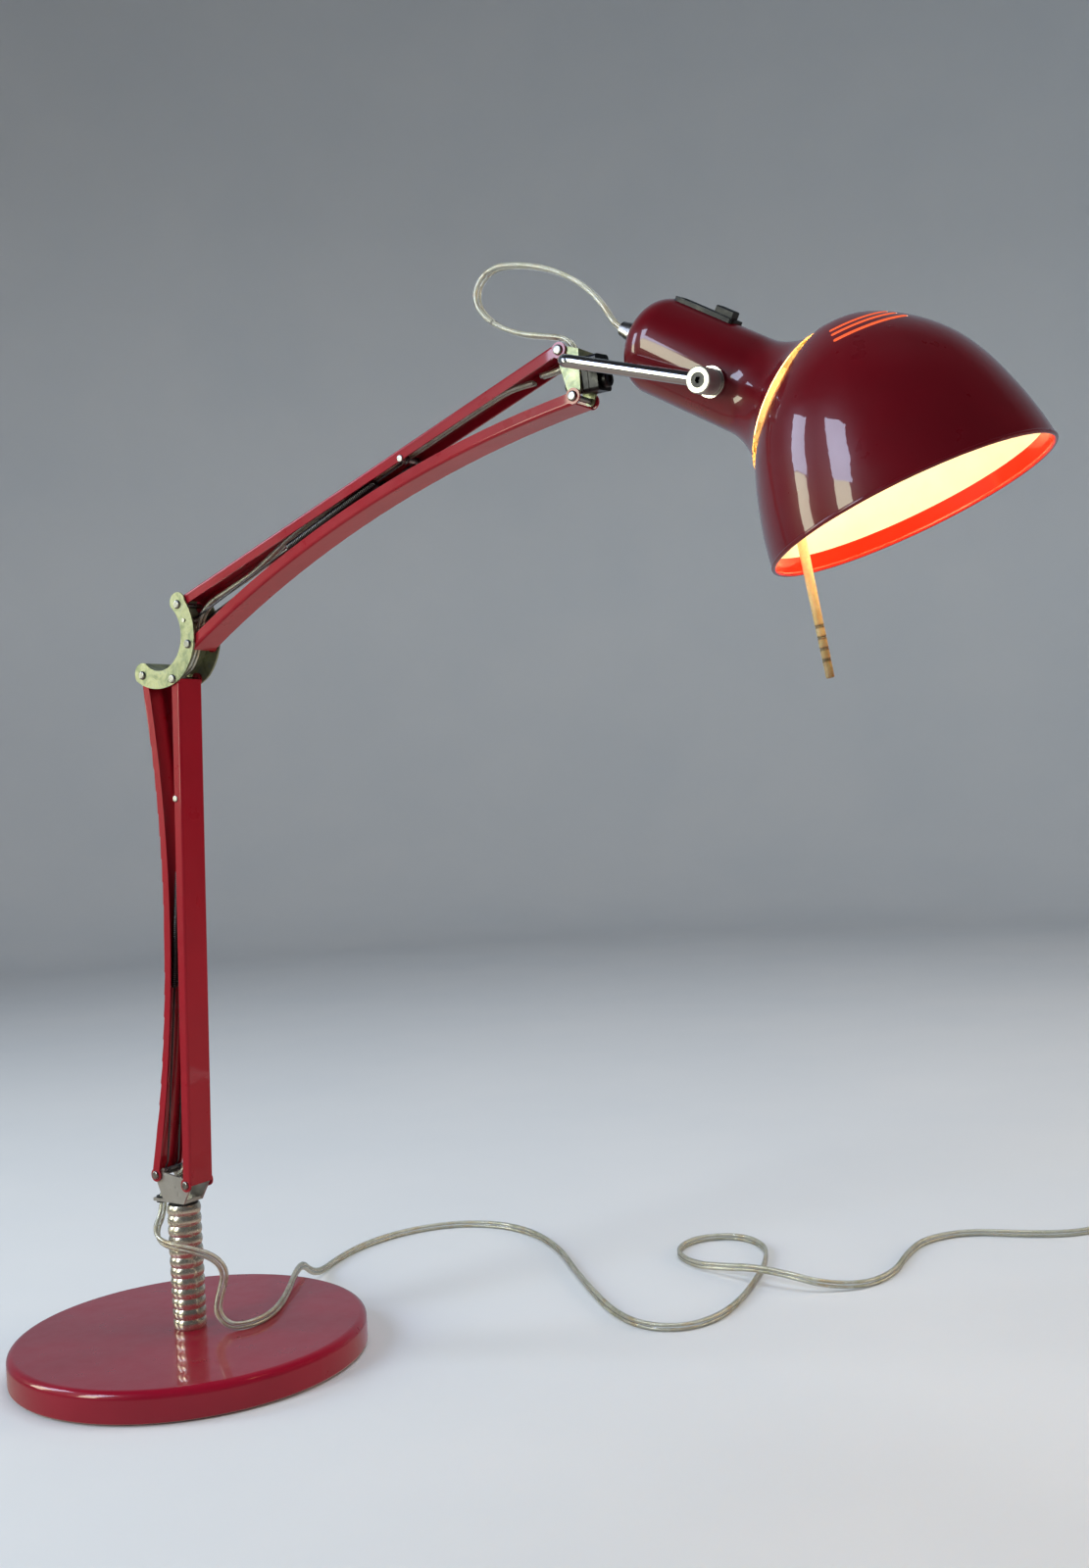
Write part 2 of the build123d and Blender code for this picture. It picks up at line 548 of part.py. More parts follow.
def tilt_rod():
    """A tapered handle with four grooves near its tip."""
    length = hypot(ROD_TIP[0] - ROD_TOP[0], ROD_TIP[1] - ROD_TOP[1])
    rod = Cone(2.5, 2.1, length, align=(Align.CENTER, Align.CENTER, Align.MIN))
    for distance in (9, 14.5, 20, 25.5):
        rod -= Pos(0, 0, length - distance) * Torus(2.55, 0.5)
    rod = fillet(rod.edges().group_by(Axis.Z)[-1], 0.8)
    lean = degrees(atan2(ROD_TIP[0] - ROD_TOP[0], ROD_TOP[1] - ROD_TIP[1]))
    return Pos(ROD_TOP[0], 0, ROD_TOP[1]) * Rot(0, 180 - lean, 0) * rod


def tilt_rod_socket():
    """The clip that holds the handle to the inside of the shade's back wall."""
    lean = degrees(atan2(ROD_TIP[0] - ROD_TOP[0], ROD_TOP[1] - ROD_TIP[1]))
    cup = Pos(0, 0, -8) * Cylinder(4.0, 8, align=(Align.CENTER, Align.CENTER, Align.MIN))
    strap = Pos(-6, 0, -4) * Box(10, 5, 1.4)
    clip = Pos(ROD_TOP[0], 0, ROD_TOP[1]) * Rot(0, 180 - lean, 0) * (cup + Rot(0, 0, 180) * strap)
    inside = SHADE * dome(SHADE_RADIUS - SHEET, SHADE_HEIGHT - SHEET)
    return clip & inside


# ---------------------------------------------------------------- cables held by the lamp
def flat_cable(corners, bend):
    """A flat twin cable with rounded corners, wide in the Y direction."""
    path = FilletPolyline(*corners, radius=bend) if bend else Line(*corners)
    section = Plane(path @ 0, x_dir=(0, 1, 0), z_dir=path % 0) * SlotOverall(CORD_WIDTH, CORD_THICK)
    return sweep(section, path=path)


LOOP_ROUTE = ((0, 0), (-4.5, 3), (-11, 15), (-23, 28), (-42, 40), (-62, 47), (-80, 50), (-91, 44), (-93.5, 33),
              (-84, 21), (-66, 11), (-46, 5.5), (-35, 2.5), (-29.6, -4), (-31, -11), (-39, -13.5), (-52, -14))
LOOP_TURN = -2.63                    # degrees about the link's end, to reach the gland of the rolled head
CABLE_INSET = 1.75                   # a cable in a link's channel, from the pivot line towards the web


def head_cable():
    """The loop from the gland at the back of the neck into the end of the top link."""
    gland = along(NECK_START, 180 - NECK_DROP, NECK_BACK + 11.5)
    corners = [(gland[0] + x, 0, gland[1] - 0.1 + z) for x, z in LOOP_ROUTE]
    entry = Pos(*corners[-1])
    return entry * Rot(0, 0, LOOP_TURN) * entry.inverse() * flat_cable(corners, 3.4)


def in_link(pivot, angle, distance, offset):
    """A point at mid width of a link, at an offset to the left of its pivot line."""
    x, z = along(along(pivot, angle, distance), angle + 90, offset)
    return (x, 0, z)


def foot_cable():
    """From the grommet between the links' feet into the front link's channel."""
    low = (*CORD_EXIT, FOOT_PLATE_LOW + FOOT_PLATE + 1.2)
    high = in_link(FOOT_FRONT, LOWER_ANGLE, 24, -CABLE_INSET)
    return flat_cable([low, (low[0], -3.6, 106.5), (-4, -1.5, 110.8), (3.4, 0, 121.2), (high[0] - 1.4, 0, 128), high],
                      3.0)


def lower_cable():
    return flat_cable([in_link(FOOT_FRONT, LOWER_ANGLE, s, -CABLE_INSET) for s in (24.2, 296)], None)


def elbow_cables():
    """Two lengths that pass left of the elbow's lower pivots, right of its spring pin, and meet between them."""
    low = [in_link(FOOT_FRONT, LOWER_ANGLE, s, -CABLE_INSET) for s in (296.2, 300.5)]
    high = [in_link(UPPER_TOP_PIVOT, UPPER_RISE, s, CABLE_INSET) for s in (15.5, 19.8)]
    route = [(25.2, 0, 422), (25.4, 0, 428.3), (28.5, 0, 429.5), (34.6, 0, 433.2), (40.4, 0, 443), (41.2, 0, 449.2)]
    first = flat_cable([*low, *route, (43.5, 0, 456)], 4.0)
    second = flat_cable([(43.55, 0, 456.15), (46.4, 0, 464.55), *high], 4.0)
    return first, second


def upper_cable():
    top = [in_link(UPPER_TOP_PIVOT, UPPER_RISE, s, CABLE_INSET) for s in (20, 264)]
    return flat_cable([*top, in_link(UPPER_TOP_PIVOT, UPPER_RISE, 280, -3.5)], 8.0)


# ---------------------------------------------------------------- mains cord
DISC_Z = BASE_TOP + CORD_WIDTH / 2 + 0.1
FLOOR_Z = CORD_WIDTH / 2
CORD_ROUTE = (
    (-14, -4, 97.9), (-14.2, -5.2, 90), (-13, -12, 83), (-5, -17.5, 78), (7, -18, 75.5), (19, -11.5, 73),
    (28, -1.5, 66), (29.5, 4, 56), (26.5, 3.5, 46), (24.5, 1.8, 38.5), (24, 1, 32), (27.4, 2.7, 25.6),
    (33.2, 5.5, DISC_Z), (40, 14.5, DISC_Z), (39, 31, DISC_Z), (28, 53, DISC_Z), (13, 75, DISC_Z + 0.2),
    (-2, 97, DISC_Z + 3.2), (-14, 117, DISC_Z + 2.2), (-26, 137, 12), (-39, 161, FLOOR_Z + 0.6), (-51, 192, FLOOR_Z),
    (-57, 230, FLOOR_Z), (-50, 270, FLOOR_Z), (-28, 302, FLOOR_Z), (10, 316, FLOOR_Z), (54, 304, FLOOR_Z),
    (94, 276, FLOOR_Z), (131, 240, FLOOR_Z), (168, 205, FLOOR_Z), (204, 174, FLOOR_Z), (236, 158, FLOOR_Z),
    (262, 165, FLOOR_Z), (273, 189, FLOOR_Z), (271, 222, FLOOR_Z), (262, 262, FLOOR_Z), (250, 304, FLOOR_Z),
    (231, 343, FLOOR_Z), (200, 359, FLOOR_Z), (173, 340, FLOOR_Z), (175, 305, FLOOR_Z), (203, 283, FLOOR_Z),
    (232, 278, FLOOR_Z + 3), (258, 272, FLOOR_Z + 7.2), (284, 268, FLOOR_Z + 7.2), (310, 270, FLOOR_Z + 3),
    (333, 288, FLOOR_Z), (340, 320, FLOOR_Z), (332, 360, FLOOR_Z), (330, 400, FLOOR_Z), (352, 431, FLOOR_Z),
    (390, 440, FLOOR_Z), (420, 452, FLOOR_Z), (439, 476, FLOOR_Z), (452, 502, FLOOR_Z),
)
COIL_INNER, COIL_OUTER = 25.6, 36.5
COIL_HEIGHT = 10.2
COIL_CENTRE = (491.2, 504.9)
PLUG_LENGTH = 35.5
PLUG_WIDTH = 35.0
PLUG_THICK = 13.6
RELIEF_LENGTH = 25.0
PLUG_TURN = -36.9                    # degrees that the plug points away from +X
PLUG_AT = (530.6, 514.1, 6.9)        # tip of the plug's strain relief
TAIL_FROM = (509.8, 529.7, 7.5)      # where the cord's end leaves the top of the coil


def corner_radii(points):
    """For each corner of a route, the arc that uses 0.45 of its shorter run."""
    radii = []
    for before, corner, after in zip(points, points[1:], points[2:]):
        first = Vector(*corner) - Vector(*before)
        second = Vector(*after) - Vector(*corner)
        run = min(first.length, second.length)
        radii.append(0.45 * run / tan(radians(first.get_angle(second) / 2)))
    return radii


def mains_cord():
    radii = corner_radii(CORD_ROUTE)
    path = FilletPolyline(*CORD_ROUTE, radius=radii)
    plane = Plane(path @ 0, z_dir=path % 0)
    cord = sweep(plane * Circle(CORD_WIDTH / 2), path=path)
    expected = pi * (CORD_WIDTH / 2) ** 2 * path.length
    print(f"mains cord: length {path.length:.0f}, smallest radius {min(radii):.0f}, "
          f"volume {cord.volume / expected:.3f} of section times length")
    return cord


def cord_coil():
    """The outer shape of the wound length, a flat ring lying on the surface, and its end to the plug."""
    ring = Cylinder(COIL_OUTER, COIL_HEIGHT, align=(Align.CENTER, Align.CENTER, Align.MIN))
    ring = Pos(*COIL_CENTRE, 0) * (fillet(ring.edges(), 2.5) - Cylinder(COIL_INNER, 60))
    end = Line(PLUG_AT, TAIL_FROM)
    return ring + sweep(Plane(PLUG_AT, z_dir=end % 0) * Circle(CORD_WIDTH / 2), path=end)


PLUG = Pos(*PLUG_AT) * Rot(0, 0, PLUG_TURN)


def plug_body():
    """A flat two-pin plug: a hexagonal body behind a tapered strain relief, drawn along +X."""
    back, front, half = RELIEF_LENGTH, RELIEF_LENGTH + PLUG_LENGTH, PLUG_WIDTH / 2
    outline_points = ((back, -5.5), (back + 15, -half), (front - 6, -half), (front, -half + 4),
                      (front, half - 4), (front - 6, half), (back + 15, half), (back, 5.5))
    body = extrude(make_face(Polyline(*outline_points, close=True)), PLUG_THICK / 2, both=True)
    body = fillet(body.edges().filter_by(Axis.Z), 1.6)
    body = fillet(body.edges().group_by(Axis.Z)[0] + body.edges().group_by(Axis.Z)[-1], 1.5)
    relief = Pos(RELIEF_LENGTH / 2, 0, 0) * Rot(0, 90, 0) * Cone(3.2, 5.4, RELIEF_LENGTH)
    return PLUG * (body + relief)


def plug_pins():
    front = RELIEF_LENGTH + PLUG_LENGTH
    pins = []
    for y in (-9.3, 9.3):
        pin = Pos(front + 9.5, y, 0) * Rot(0, 90, 0) * Cylinder(2.0, 19)
        pins.append(PLUG * fillet(pin.edges().group_by(Axis.X)[-1], 1.2))
    return group(*pins)


# ---------------------------------------------------------------- writing the nodes
def main():
    hinge = RIVET_RADIUS + RUNNING
    loose = RIVET_RADIUS + OPEN_PIVOT_CLEARANCE
    save("base_disc", base_disc())
    save("base_felt", base_felt())
    save("base_bolt", base_bolt())
    save("post_tube", post_tube())
    save("post_bush", post_bush())
    save("foot_spindle", foot_spindle())
    save("foot_clip", foot_clip())
    save("foot_bracket", foot_bracket())
    save("foot_grommet", foot_grommet())
    half = LINK_WIDTH / 2 + 0.1
    save("foot_rivets", group(rivet(FOOT_REAR, half), rivet(FOOT_FRONT, half)))
    save("foot_spring_pin", rod_y(FOOT_SPRING_PIN, 1.2, -BRACKET_HALF, BRACKET_HALF))
    save("lower_rear_link", link(FOOT_REAR, ELBOW_REAR, BOW, True, hinge, loose))
    save("lower_front_link", link(FOOT_FRONT, ELBOW_FRONT, 0, False, hinge, hinge, LOWER_PIN_AT))
    save("lower_spring_pin", rivet(LOWER_SPRING_PIN, LINK_WIDTH / 2, 2.0, 0.7, 1.2))
    save("lower_springs", springs(FOOT_SPRING_PIN, LOWER_SPRING_PIN, 116, 190))
    save("elbow_bracket", elbow_bracket())
    pivots = (ELBOW_REAR, ELBOW_FRONT, UPPER_TOP_PIVOT, UPPER_BOTTOM_PIVOT)
    save("elbow_rivets", group(*[rivet(p, ELBOW_HALF) for p in pivots]))
    save("elbow_spring_pin", rod_y(ELBOW_SPRING_PIN, 1.2, -ELBOW_HALF - 0.6, ELBOW_HALF + 0.6))
    save("upper_top_link", link(UPPER_TOP_PIVOT, HEAD_TOP, 0, True, hinge, hinge, UPPER_PIN_AT))
    save("upper_bottom_link", link(UPPER_BOTTOM_PIVOT, HEAD_BOTTOM, BOW, False, hinge, loose))
    save("upper_spring_pin", rivet(UPPER_SPRING_PIN, LINK_WIDTH / 2, 2.0, 0.7, 1.2))
    save("upper_springs", springs(ELBOW_SPRING_PIN, UPPER_SPRING_PIN, 90, 165))
    save("head_bracket", head_bracket())
    save("head_rivets", group(rivet(HEAD_TOP, half), rivet(HEAD_BOTTOM, half)))
    save("clamp_washer", clamp_washer())
    head_parts = {
        "clamp_back": clamp_block(WEB_X + WEB_SHEET + 0.1, CLAMP_SPLIT - 0.2, 547, 565.5, 6.5),
        "clamp_front": clamp_block(CLAMP_SPLIT + 0.2, CLAMP_FRONT, 547, 565.5, 6.5),
        "clamp_bolt": clamp_bolt(),
        "clamp_nut": clamp_nut(),
        "yoke_rod": yoke_rod(),
        "neck_shell": neck_shell(),
        "switch_frame": switch_frame(),
        "switch_slider": switch_slider(),
        "cable_gland": cable_gland(),
        "holder_plate": holder_plate(),
        "shade_arm_upper": shade_arm(UPPER_ARM_ROUTE),
        "shade_arm_lower": shade_arm(LOWER_ARM_ROUTE),
        "lamp_holder": lamp_holder(),
        "bulb_cap": bulb_cap(),
        "bulb_glass": bulb_glass(),
        "shade_dome": shade_dome(),
        "tilt_rod": tilt_rod(),
        "tilt_rod_socket": tilt_rod_socket(),
    }
    for name, side in SIDES.items():
        head_parts[f"yoke_boss_{name}"] = yoke_boss(side)
        head_parts[f"boss_screw_{name}"] = boss_screw(side)
        head_parts[f"boss_washer_{name}"] = boss_washer(side)
    for node, shape in head_parts.items():
        save(node, ROLL * shape)
    save("foot_cable", foot_cable())
    save("lower_cable", lower_cable())
    elbow_low, elbow_high = elbow_cables()
    save("elbow_cable_low", elbow_low)
    save("elbow_cable_high", elbow_high)
    save("upper_cable", upper_cable())
    save("head_cable", head_cable())
    save("mains_cord", mains_cord())
    save("cord_coil", cord_coil())
    save("plug_body", plug_body())
    save("plug_pins", plug_pins())


main()
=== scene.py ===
"""Architect desk lamp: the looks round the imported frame.

Metres, +Z up, origin at the centre of the base's underside; the arms reach towards +X. The order is camera,
cords, springs and small pieces, materials, stage and lights.
"""
import json
import math

import bpy
from mathutils import Matrix, Vector


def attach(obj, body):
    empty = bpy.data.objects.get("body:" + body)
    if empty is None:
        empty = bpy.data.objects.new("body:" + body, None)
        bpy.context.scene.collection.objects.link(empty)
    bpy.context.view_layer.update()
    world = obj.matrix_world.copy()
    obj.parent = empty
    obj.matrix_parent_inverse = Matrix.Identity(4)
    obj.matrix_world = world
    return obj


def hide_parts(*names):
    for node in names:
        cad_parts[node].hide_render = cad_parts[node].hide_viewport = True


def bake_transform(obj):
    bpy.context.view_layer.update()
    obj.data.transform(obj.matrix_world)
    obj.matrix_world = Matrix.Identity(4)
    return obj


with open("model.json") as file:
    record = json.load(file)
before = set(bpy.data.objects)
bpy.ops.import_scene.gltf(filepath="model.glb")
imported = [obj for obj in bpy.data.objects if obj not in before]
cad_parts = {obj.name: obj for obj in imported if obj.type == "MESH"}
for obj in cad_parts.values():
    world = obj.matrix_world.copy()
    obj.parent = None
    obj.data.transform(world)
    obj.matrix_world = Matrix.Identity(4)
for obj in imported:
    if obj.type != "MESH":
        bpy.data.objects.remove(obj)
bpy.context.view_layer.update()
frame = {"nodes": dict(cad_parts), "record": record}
UP = Vector((0, 0, 1))
ACROSS = Vector((0, 1, 0))               # the arms' own sideways direction

CORD_WIDTH = 0.0054
LOBE = CORD_WIDTH / 4                    # radius of each half of a flat flex, and its offset from the middle
CONDUCTOR = 0.00074                      # radius of each conductor
DISC_Z = 0.0223                          # cord centre when it lies on the base
FLOOR_Z = 0.0027                         # cord centre when it lies on the floor


# ---------------------------------------------------------------- camera
CAMERA_PLACE = (0.7739, -0.6929, 0.3447)
CAMERA_RIGHT = Vector((0.8350, 0.5474, -0.0561))
CAMERA_UP = Vector((0.0459, 0.0324, 0.9984))
CAMERA_BACK = Vector((0.5484, -0.8362, 0.0019))
LENS = 36.549                            # millimetres, on a sensor 36 mm wide
SHIFT = (-0.0257, 0.0044)


def add_camera():
    data = bpy.data.cameras.new("camera")
    data.sensor_width = 36
    data.lens = LENS
    data.shift_x, data.shift_y = SHIFT
    data.clip_start = 0.02
    camera = bpy.data.objects.new("camera", data)
    turn = Matrix((CAMERA_RIGHT, CAMERA_UP, CAMERA_BACK)).transposed().to_4x4()
    camera.matrix_world = Matrix.Translation(CAMERA_PLACE) @ turn
    bpy.context.scene.collection.objects.link(camera)
    bpy.context.scene.camera = camera


add_camera()


# ---------------------------------------------------------------- tubes that follow a route
LINE_STEPS = 12                          # points of a line for each control point of its route
SLOW_WANDER = 0.043                      # a cord's flat side wanders in two waves: metres for each radian
QUICK_WANDER = 0.0171
QUICK_SHARE = 0.6                        # the quick wave's height over the slow one's
QUICK_PHASE = 1.3
STAND_SHARE = 0.08                       # the share of its way to upright that a cord turns at each point
STEEP = 0.7                              # a cord that climbs more than this is left as it is


def route_line(points):
    """The points of a smooth spline that has the route's points as its control points."""
    curve = bpy.data.curves.new("route", "CURVE")
    curve.dimensions = "3D"
    curve.resolution_u = LINE_STEPS
    spline = curve.splines.new("NURBS")
    spline.points.add(len(points) - 1)
    for control, place in zip(spline.points, points):
        control.co = (*place, 1)
    spline.order_u = 3
    spline.use_endpoint_u = True
    holder = bpy.data.objects.new("route", curve)
    mesh = bpy.data.meshes.new_from_object(holder)
    line = [vertex.co.copy() for vertex in mesh.vertices]
    bpy.data.objects.remove(holder)
    bpy.data.curves.remove(curve)
    bpy.data.meshes.remove(mesh)
    return line


def directions(line):
    """The direction of travel at each point of a line."""
    ends = [line[0]] + line + [line[-1]]
    return [(after - before).normalized() for before, after in zip(ends, ends[2:])]


def sideways(line, first, stand=False, sway=0.0):
    """The direction in which a flat flex is wide at each point: steady, or easing to upright."""
    width = Vector(first)
    found = []
    travelled = 0.0
    for n, (place, ahead) in enumerate(zip(line, directions(line))):
        travelled += (place - line[n - 1]).length if n else 0.0
        width = (width - width.dot(ahead) * ahead).normalized()
        if stand and abs(ahead.z) < STEEP:
            upright = (UP - ahead.z * ahead).normalized()
            if width.dot(upright) < 0:
                upright = -upright
            width = width.lerp(upright, STAND_SHARE).normalized()
        wander = math.sin(travelled / SLOW_WANDER)
        wander += QUICK_SHARE * math.sin(travelled / QUICK_WANDER + QUICK_PHASE)
        found.append(Matrix.Rotation(sway * wander, 3, ahead) @ width)
    return found


def add_mesh(name, vertices, faces):
    """A smooth-shaded mesh object in the scene."""
    mesh = smooth_mesh(name, vertices, faces)
    piece = bpy.data.objects.new(name, mesh)
    bpy.context.scene.collection.objects.link(piece)
    return piece


def smooth_mesh(name, vertices, faces):
    mesh = bpy.data.meshes.new(name)
    mesh.from_pydata(vertices, [], faces)
    mesh.polygons.foreach_set("use_smooth", [True] * len(faces))
    return mesh


def tube(name, line, widths, section, closed=False):
    """A mesh that carries a closed section, given as (width, thickness) pairs, along a line."""
    vertices = []
    for place, ahead, width in zip(line, directions(line), widths):
        normal = ahead.cross(width).normalized()
        vertices += [tuple(place + width * w + normal * t) for w, t in section]
    count, rings = len(section), len(line)
    faces = []
    for ring in range(rings if closed else rings - 1):
        here, there = ring * count, (ring + 1) % rings * count
        for k in range(count):
            following = (k + 1) % count
            faces.append((here + k, here + following, there + following, there + k))
    if not closed:
        faces.append(tuple(range(count))[::-1])
        faces.append(tuple(range((rings - 1) * count, rings * count)))
    return add_mesh(name, vertices, faces)


def circle(radius, count):
    """Points evenly round a circle, which are also the section of a round wire."""
    angles = [2 * math.pi * k / count for k in range(count)]
    return [(radius * math.cos(a), radius * math.sin(a)) for a in angles]


def flex_section():
    """Two round lobes with a valley between them, where each lobe stops 36 degrees short of the middle."""
    angles = [math.radians(a) for a in range(-144, 145, 24)]
    right = [(LOBE + LOBE * math.cos(a), LOBE * math.sin(a)) for a in angles]
    return right + [(-w, -t) for w, t in right]


def flex(name, line, widths):
    """A flat two-core flex: its clear jacket, and both conductors in one piece."""
    jacket = tube(name, line, widths, flex_section())
    cores = []
    for side in (-1, 1):
        core_line = [place + width * side * LOBE for place, width in zip(line, widths)]
        cores.append(tube(f"{name}_cores", core_line, widths, circle(CONDUCTOR, 8)))
    conductors = join(cores)
    return jacket, conductors


def join(pieces):
    """One mesh object made of several, which keeps the first one's name."""
    vertices, faces = [], []
    for piece in pieces:
        start = len(vertices)
        vertices += [tuple(v.co) for v in piece.data.vertices]
        faces += [tuple(start + v for v in p.vertices) for p in piece.data.polygons]
    first = pieces[0]
    first.data = smooth_mesh(first.name, vertices, faces)
    for piece in pieces[1:]:
        bpy.data.objects.remove(piece)
    return first


def ease(value, start, end):
    """A smooth step from 0 at start to 1 at end."""
    share = min(max((value - start) / (end - start), 0.0), 1.0)
    return share * share * (3 - 2 * share)


# ---------------------------------------------------------------- mains cord
CORD_ROUTE = (
    (-0.014, -0.004, 0.0979), (-0.0142, -0.0052, 0.09), (-0.013, -0.012, 0.083), (-0.005, -0.0175, 0.078),
    (0.007, -0.018, 0.0755), (0.019, -0.0115, 0.073), (0.028, -0.0015, 0.066), (0.0295, 0.004, 0.056),
    (0.0265, 0.0035, 0.046), (0.0245, 0.0018, 0.0385), (0.024, 0.001, 0.032), (0.0274, 0.0027, 0.0256),
    (0.0332, 0.0055, DISC_Z), (0.04, 0.0145, DISC_Z), (0.039, 0.031, DISC_Z), (0.028, 0.053, DISC_Z),
    (0.013, 0.075, 0.0225), (-0.002, 0.097, 0.0255), (-0.014, 0.117, 0.0245), (-0.026, 0.137, 0.012),
    (-0.039, 0.161, 0.0033), (-0.051, 0.192, FLOOR_Z), (-0.057, 0.23, FLOOR_Z), (-0.05, 0.27, FLOOR_Z),
    (-0.028, 0.302, FLOOR_Z), (0.01, 0.316, FLOOR_Z), (0.054, 0.304, FLOOR_Z), (0.094, 0.276, FLOOR_Z),
    (0.131, 0.24, FLOOR_Z), (0.168, 0.205, FLOOR_Z), (0.204, 0.174, FLOOR_Z), (0.236, 0.158, FLOOR_Z),
    (0.262, 0.165, FLOOR_Z), (0.273, 0.189, FLOOR_Z), (0.271, 0.222, FLOOR_Z), (0.262, 0.262, FLOOR_Z),
    (0.25, 0.304, FLOOR_Z), (0.231, 0.343, FLOOR_Z), (0.2, 0.359, FLOOR_Z), (0.173, 0.34, FLOOR_Z),
    (0.175, 0.305, FLOOR_Z), (0.203, 0.283, FLOOR_Z), (0.232, 0.278, 0.0057), (0.258, 0.272, 0.0099),
    (0.284, 0.268, 0.0099), (0.31, 0.27, 0.0057), (0.333, 0.288, FLOOR_Z), (0.34, 0.32, FLOOR_Z),
    (0.332, 0.36, FLOOR_Z), (0.33, 0.4, FLOOR_Z), (0.352, 0.431, FLOOR_Z), (0.39, 0.44, FLOOR_Z),
    (0.42, 0.452, FLOOR_Z), (0.439, 0.476, FLOOR_Z), (0.452, 0.502, FLOOR_Z),
)
COIL_CENTRE = Vector((0.4912, 0.5049, 0))
COIL_RADIUS = 0.0337                     # of the outer turn, at the cord's centre
COIL_START = 153.4                       # degrees round the coil where the cord comes in
COIL_TURNED = 810                        # degrees that the cord goes round
COIL_STEP = 18
SECOND_TURN = (290, 360)                 # degrees over which the cord moves in beside its first turn
THIRD_TURN = (590, 660)                  # degrees over which it moves out, over both turns
RISE = (590, 650)
SETTLE = (660, 690)
SPLINE_INSET = 1.012                     # a spline runs this much inside control points that go round
LAYER_RISE = 0.0047                      # the third turn's climb onto the others
LAYER_SETTLE = 0.0006                    # and a last small climb
PLUG_TIP = (0.5306, 0.5141, 0.0069)

TIE_ANGLE = math.radians(-30)            # where the tie is, round the coil
TIE_WIRE = 0.0004                        # its radius
TIE_LOOP = (                             # distances from the coil's centre, and heights
    (0.0249, 0.0016), (0.0262, 0.0004), (0.031, 0.0004), (0.0358, 0.0004), (0.0371, 0.0016),
    (0.0371, 0.0044), (0.0358, 0.0060), (0.031, 0.0064), (0.0262, 0.0060), (0.0249, 0.0044),
)
TIE_KNOT = (0.0335, 0.0066)              # where its two ends start, as one of those pairs
TIE_STEP = (0.0004, 0.00022)             # the same for each point of an end
TIE_TWIST = 0.75                         # radians for each point
TIE_SPREAD = 0.00055                     # from the twist's middle to each wire
TIE_POINTS = 25
TIE_TWISTED = 20                         # points after which the two ends part
TIE_PARTING = 0.0003                     # how much farther apart each wire is at each point after that


def coil_route():
    """Two turns side by side, clockwise, then part of a turn on top of them, and on to the plug."""
    points = []
    for turned in range(0, COIL_TURNED + 1, COIL_STEP):
        inwards = CORD_WIDTH * ease(turned, *SECOND_TURN)
        radius = COIL_RADIUS - inwards + CORD_WIDTH / 2 * ease(turned, *THIRD_TURN)
        height = FLOOR_Z + LAYER_RISE * ease(turned, *RISE) + LAYER_SETTLE * ease(turned, *SETTLE)
        angle = math.radians(COIL_START - turned)
        out = Vector((math.cos(angle), math.sin(angle), 0))
        points.append(tuple(COIL_CENTRE + out * radius * SPLINE_INSET + UP * height))
    return (*points, (0.5202, 0.5219, 0.0083), (0.5254, 0.518, 0.0076), PLUG_TIP)


def add_mains_cord():
    line = route_line(CORD_ROUTE + coil_route())
    widths = sideways(line, ACROSS, stand=True, sway=0.16)
    cord, conductors = flex("mains_flex", line, widths)
    for piece in (cord, conductors):
        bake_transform(piece)
    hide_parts("mains_cord", "cord_coil")
    tie = add_tie()
    return cord, conductors, tie


def tie_end(out, around, phase):
    """The line of one of the tie's two ends, which twist round each other and then part."""
    line = []
    for n in range(TIE_POINTS):
        turn = phase + n * TIE_TWIST
        spread = TIE_SPREAD + TIE_PARTING * max(n - TIE_TWISTED + 1, 0)
        centre = COIL_CENTRE + out * (TIE_KNOT[0] + TIE_STEP[0] * n) + UP * (TIE_KNOT[1] + TIE_STEP[1] * n)
        line.append(centre + around * spread * math.cos(turn) + UP * spread * math.sin(turn))
    return line


def add_tie():
    """A wire tie round the coil's two turns, with its ends twisted together."""
    out = Vector((math.cos(TIE_ANGLE), math.sin(TIE_ANGLE), 0))
    around = out.cross(UP)
    band = [COIL_CENTRE + out * r + UP * z for r, z in TIE_LOOP]
    pieces = [tube("cord_tie", band, [around] * len(band), circle(TIE_WIRE, 6), closed=True)]
    for phase in (0, math.pi):
        end = tie_end(out, around, phase)
        pieces.append(tube("tie_end", end, sideways(end, around), circle(TIE_WIRE, 6)))
    tie = join(pieces)
    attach(tie, "base")
    return tie


mains_pieces = add_mains_cord()


# ---------------------------------------------------------------- cables in and between the arms
FOOT_FRONT = Vector((0.0133, 0, 0.1118))             # the front link's pivot on the foot
UPPER_TOP = Vector((0.0365, 0, 0.4708))              # the top link's pivot on the elbow
LOWER_ANGLE = 87.2                       # degrees from level to the front link
UPPER_RISE = 19.0                        # degrees from level to the top link
FOOT_SPRING_PIN = Vector((-0.0080, 0, 0.1195))
LOWER_SPRING_PIN = Vector((0.02385, 0, 0.35209))
ELBOW_SPRING_PIN = Vector((0.0415, 0, 0.4605))
UPPER_SPRING_PIN = Vector((0.21654, 0, 0.53152))
INSET = 0.00175                          # a cable in a link's channel, from the pivot line towards the web
OUTSET = 0.0059                          # a cable just outside a channel's open side

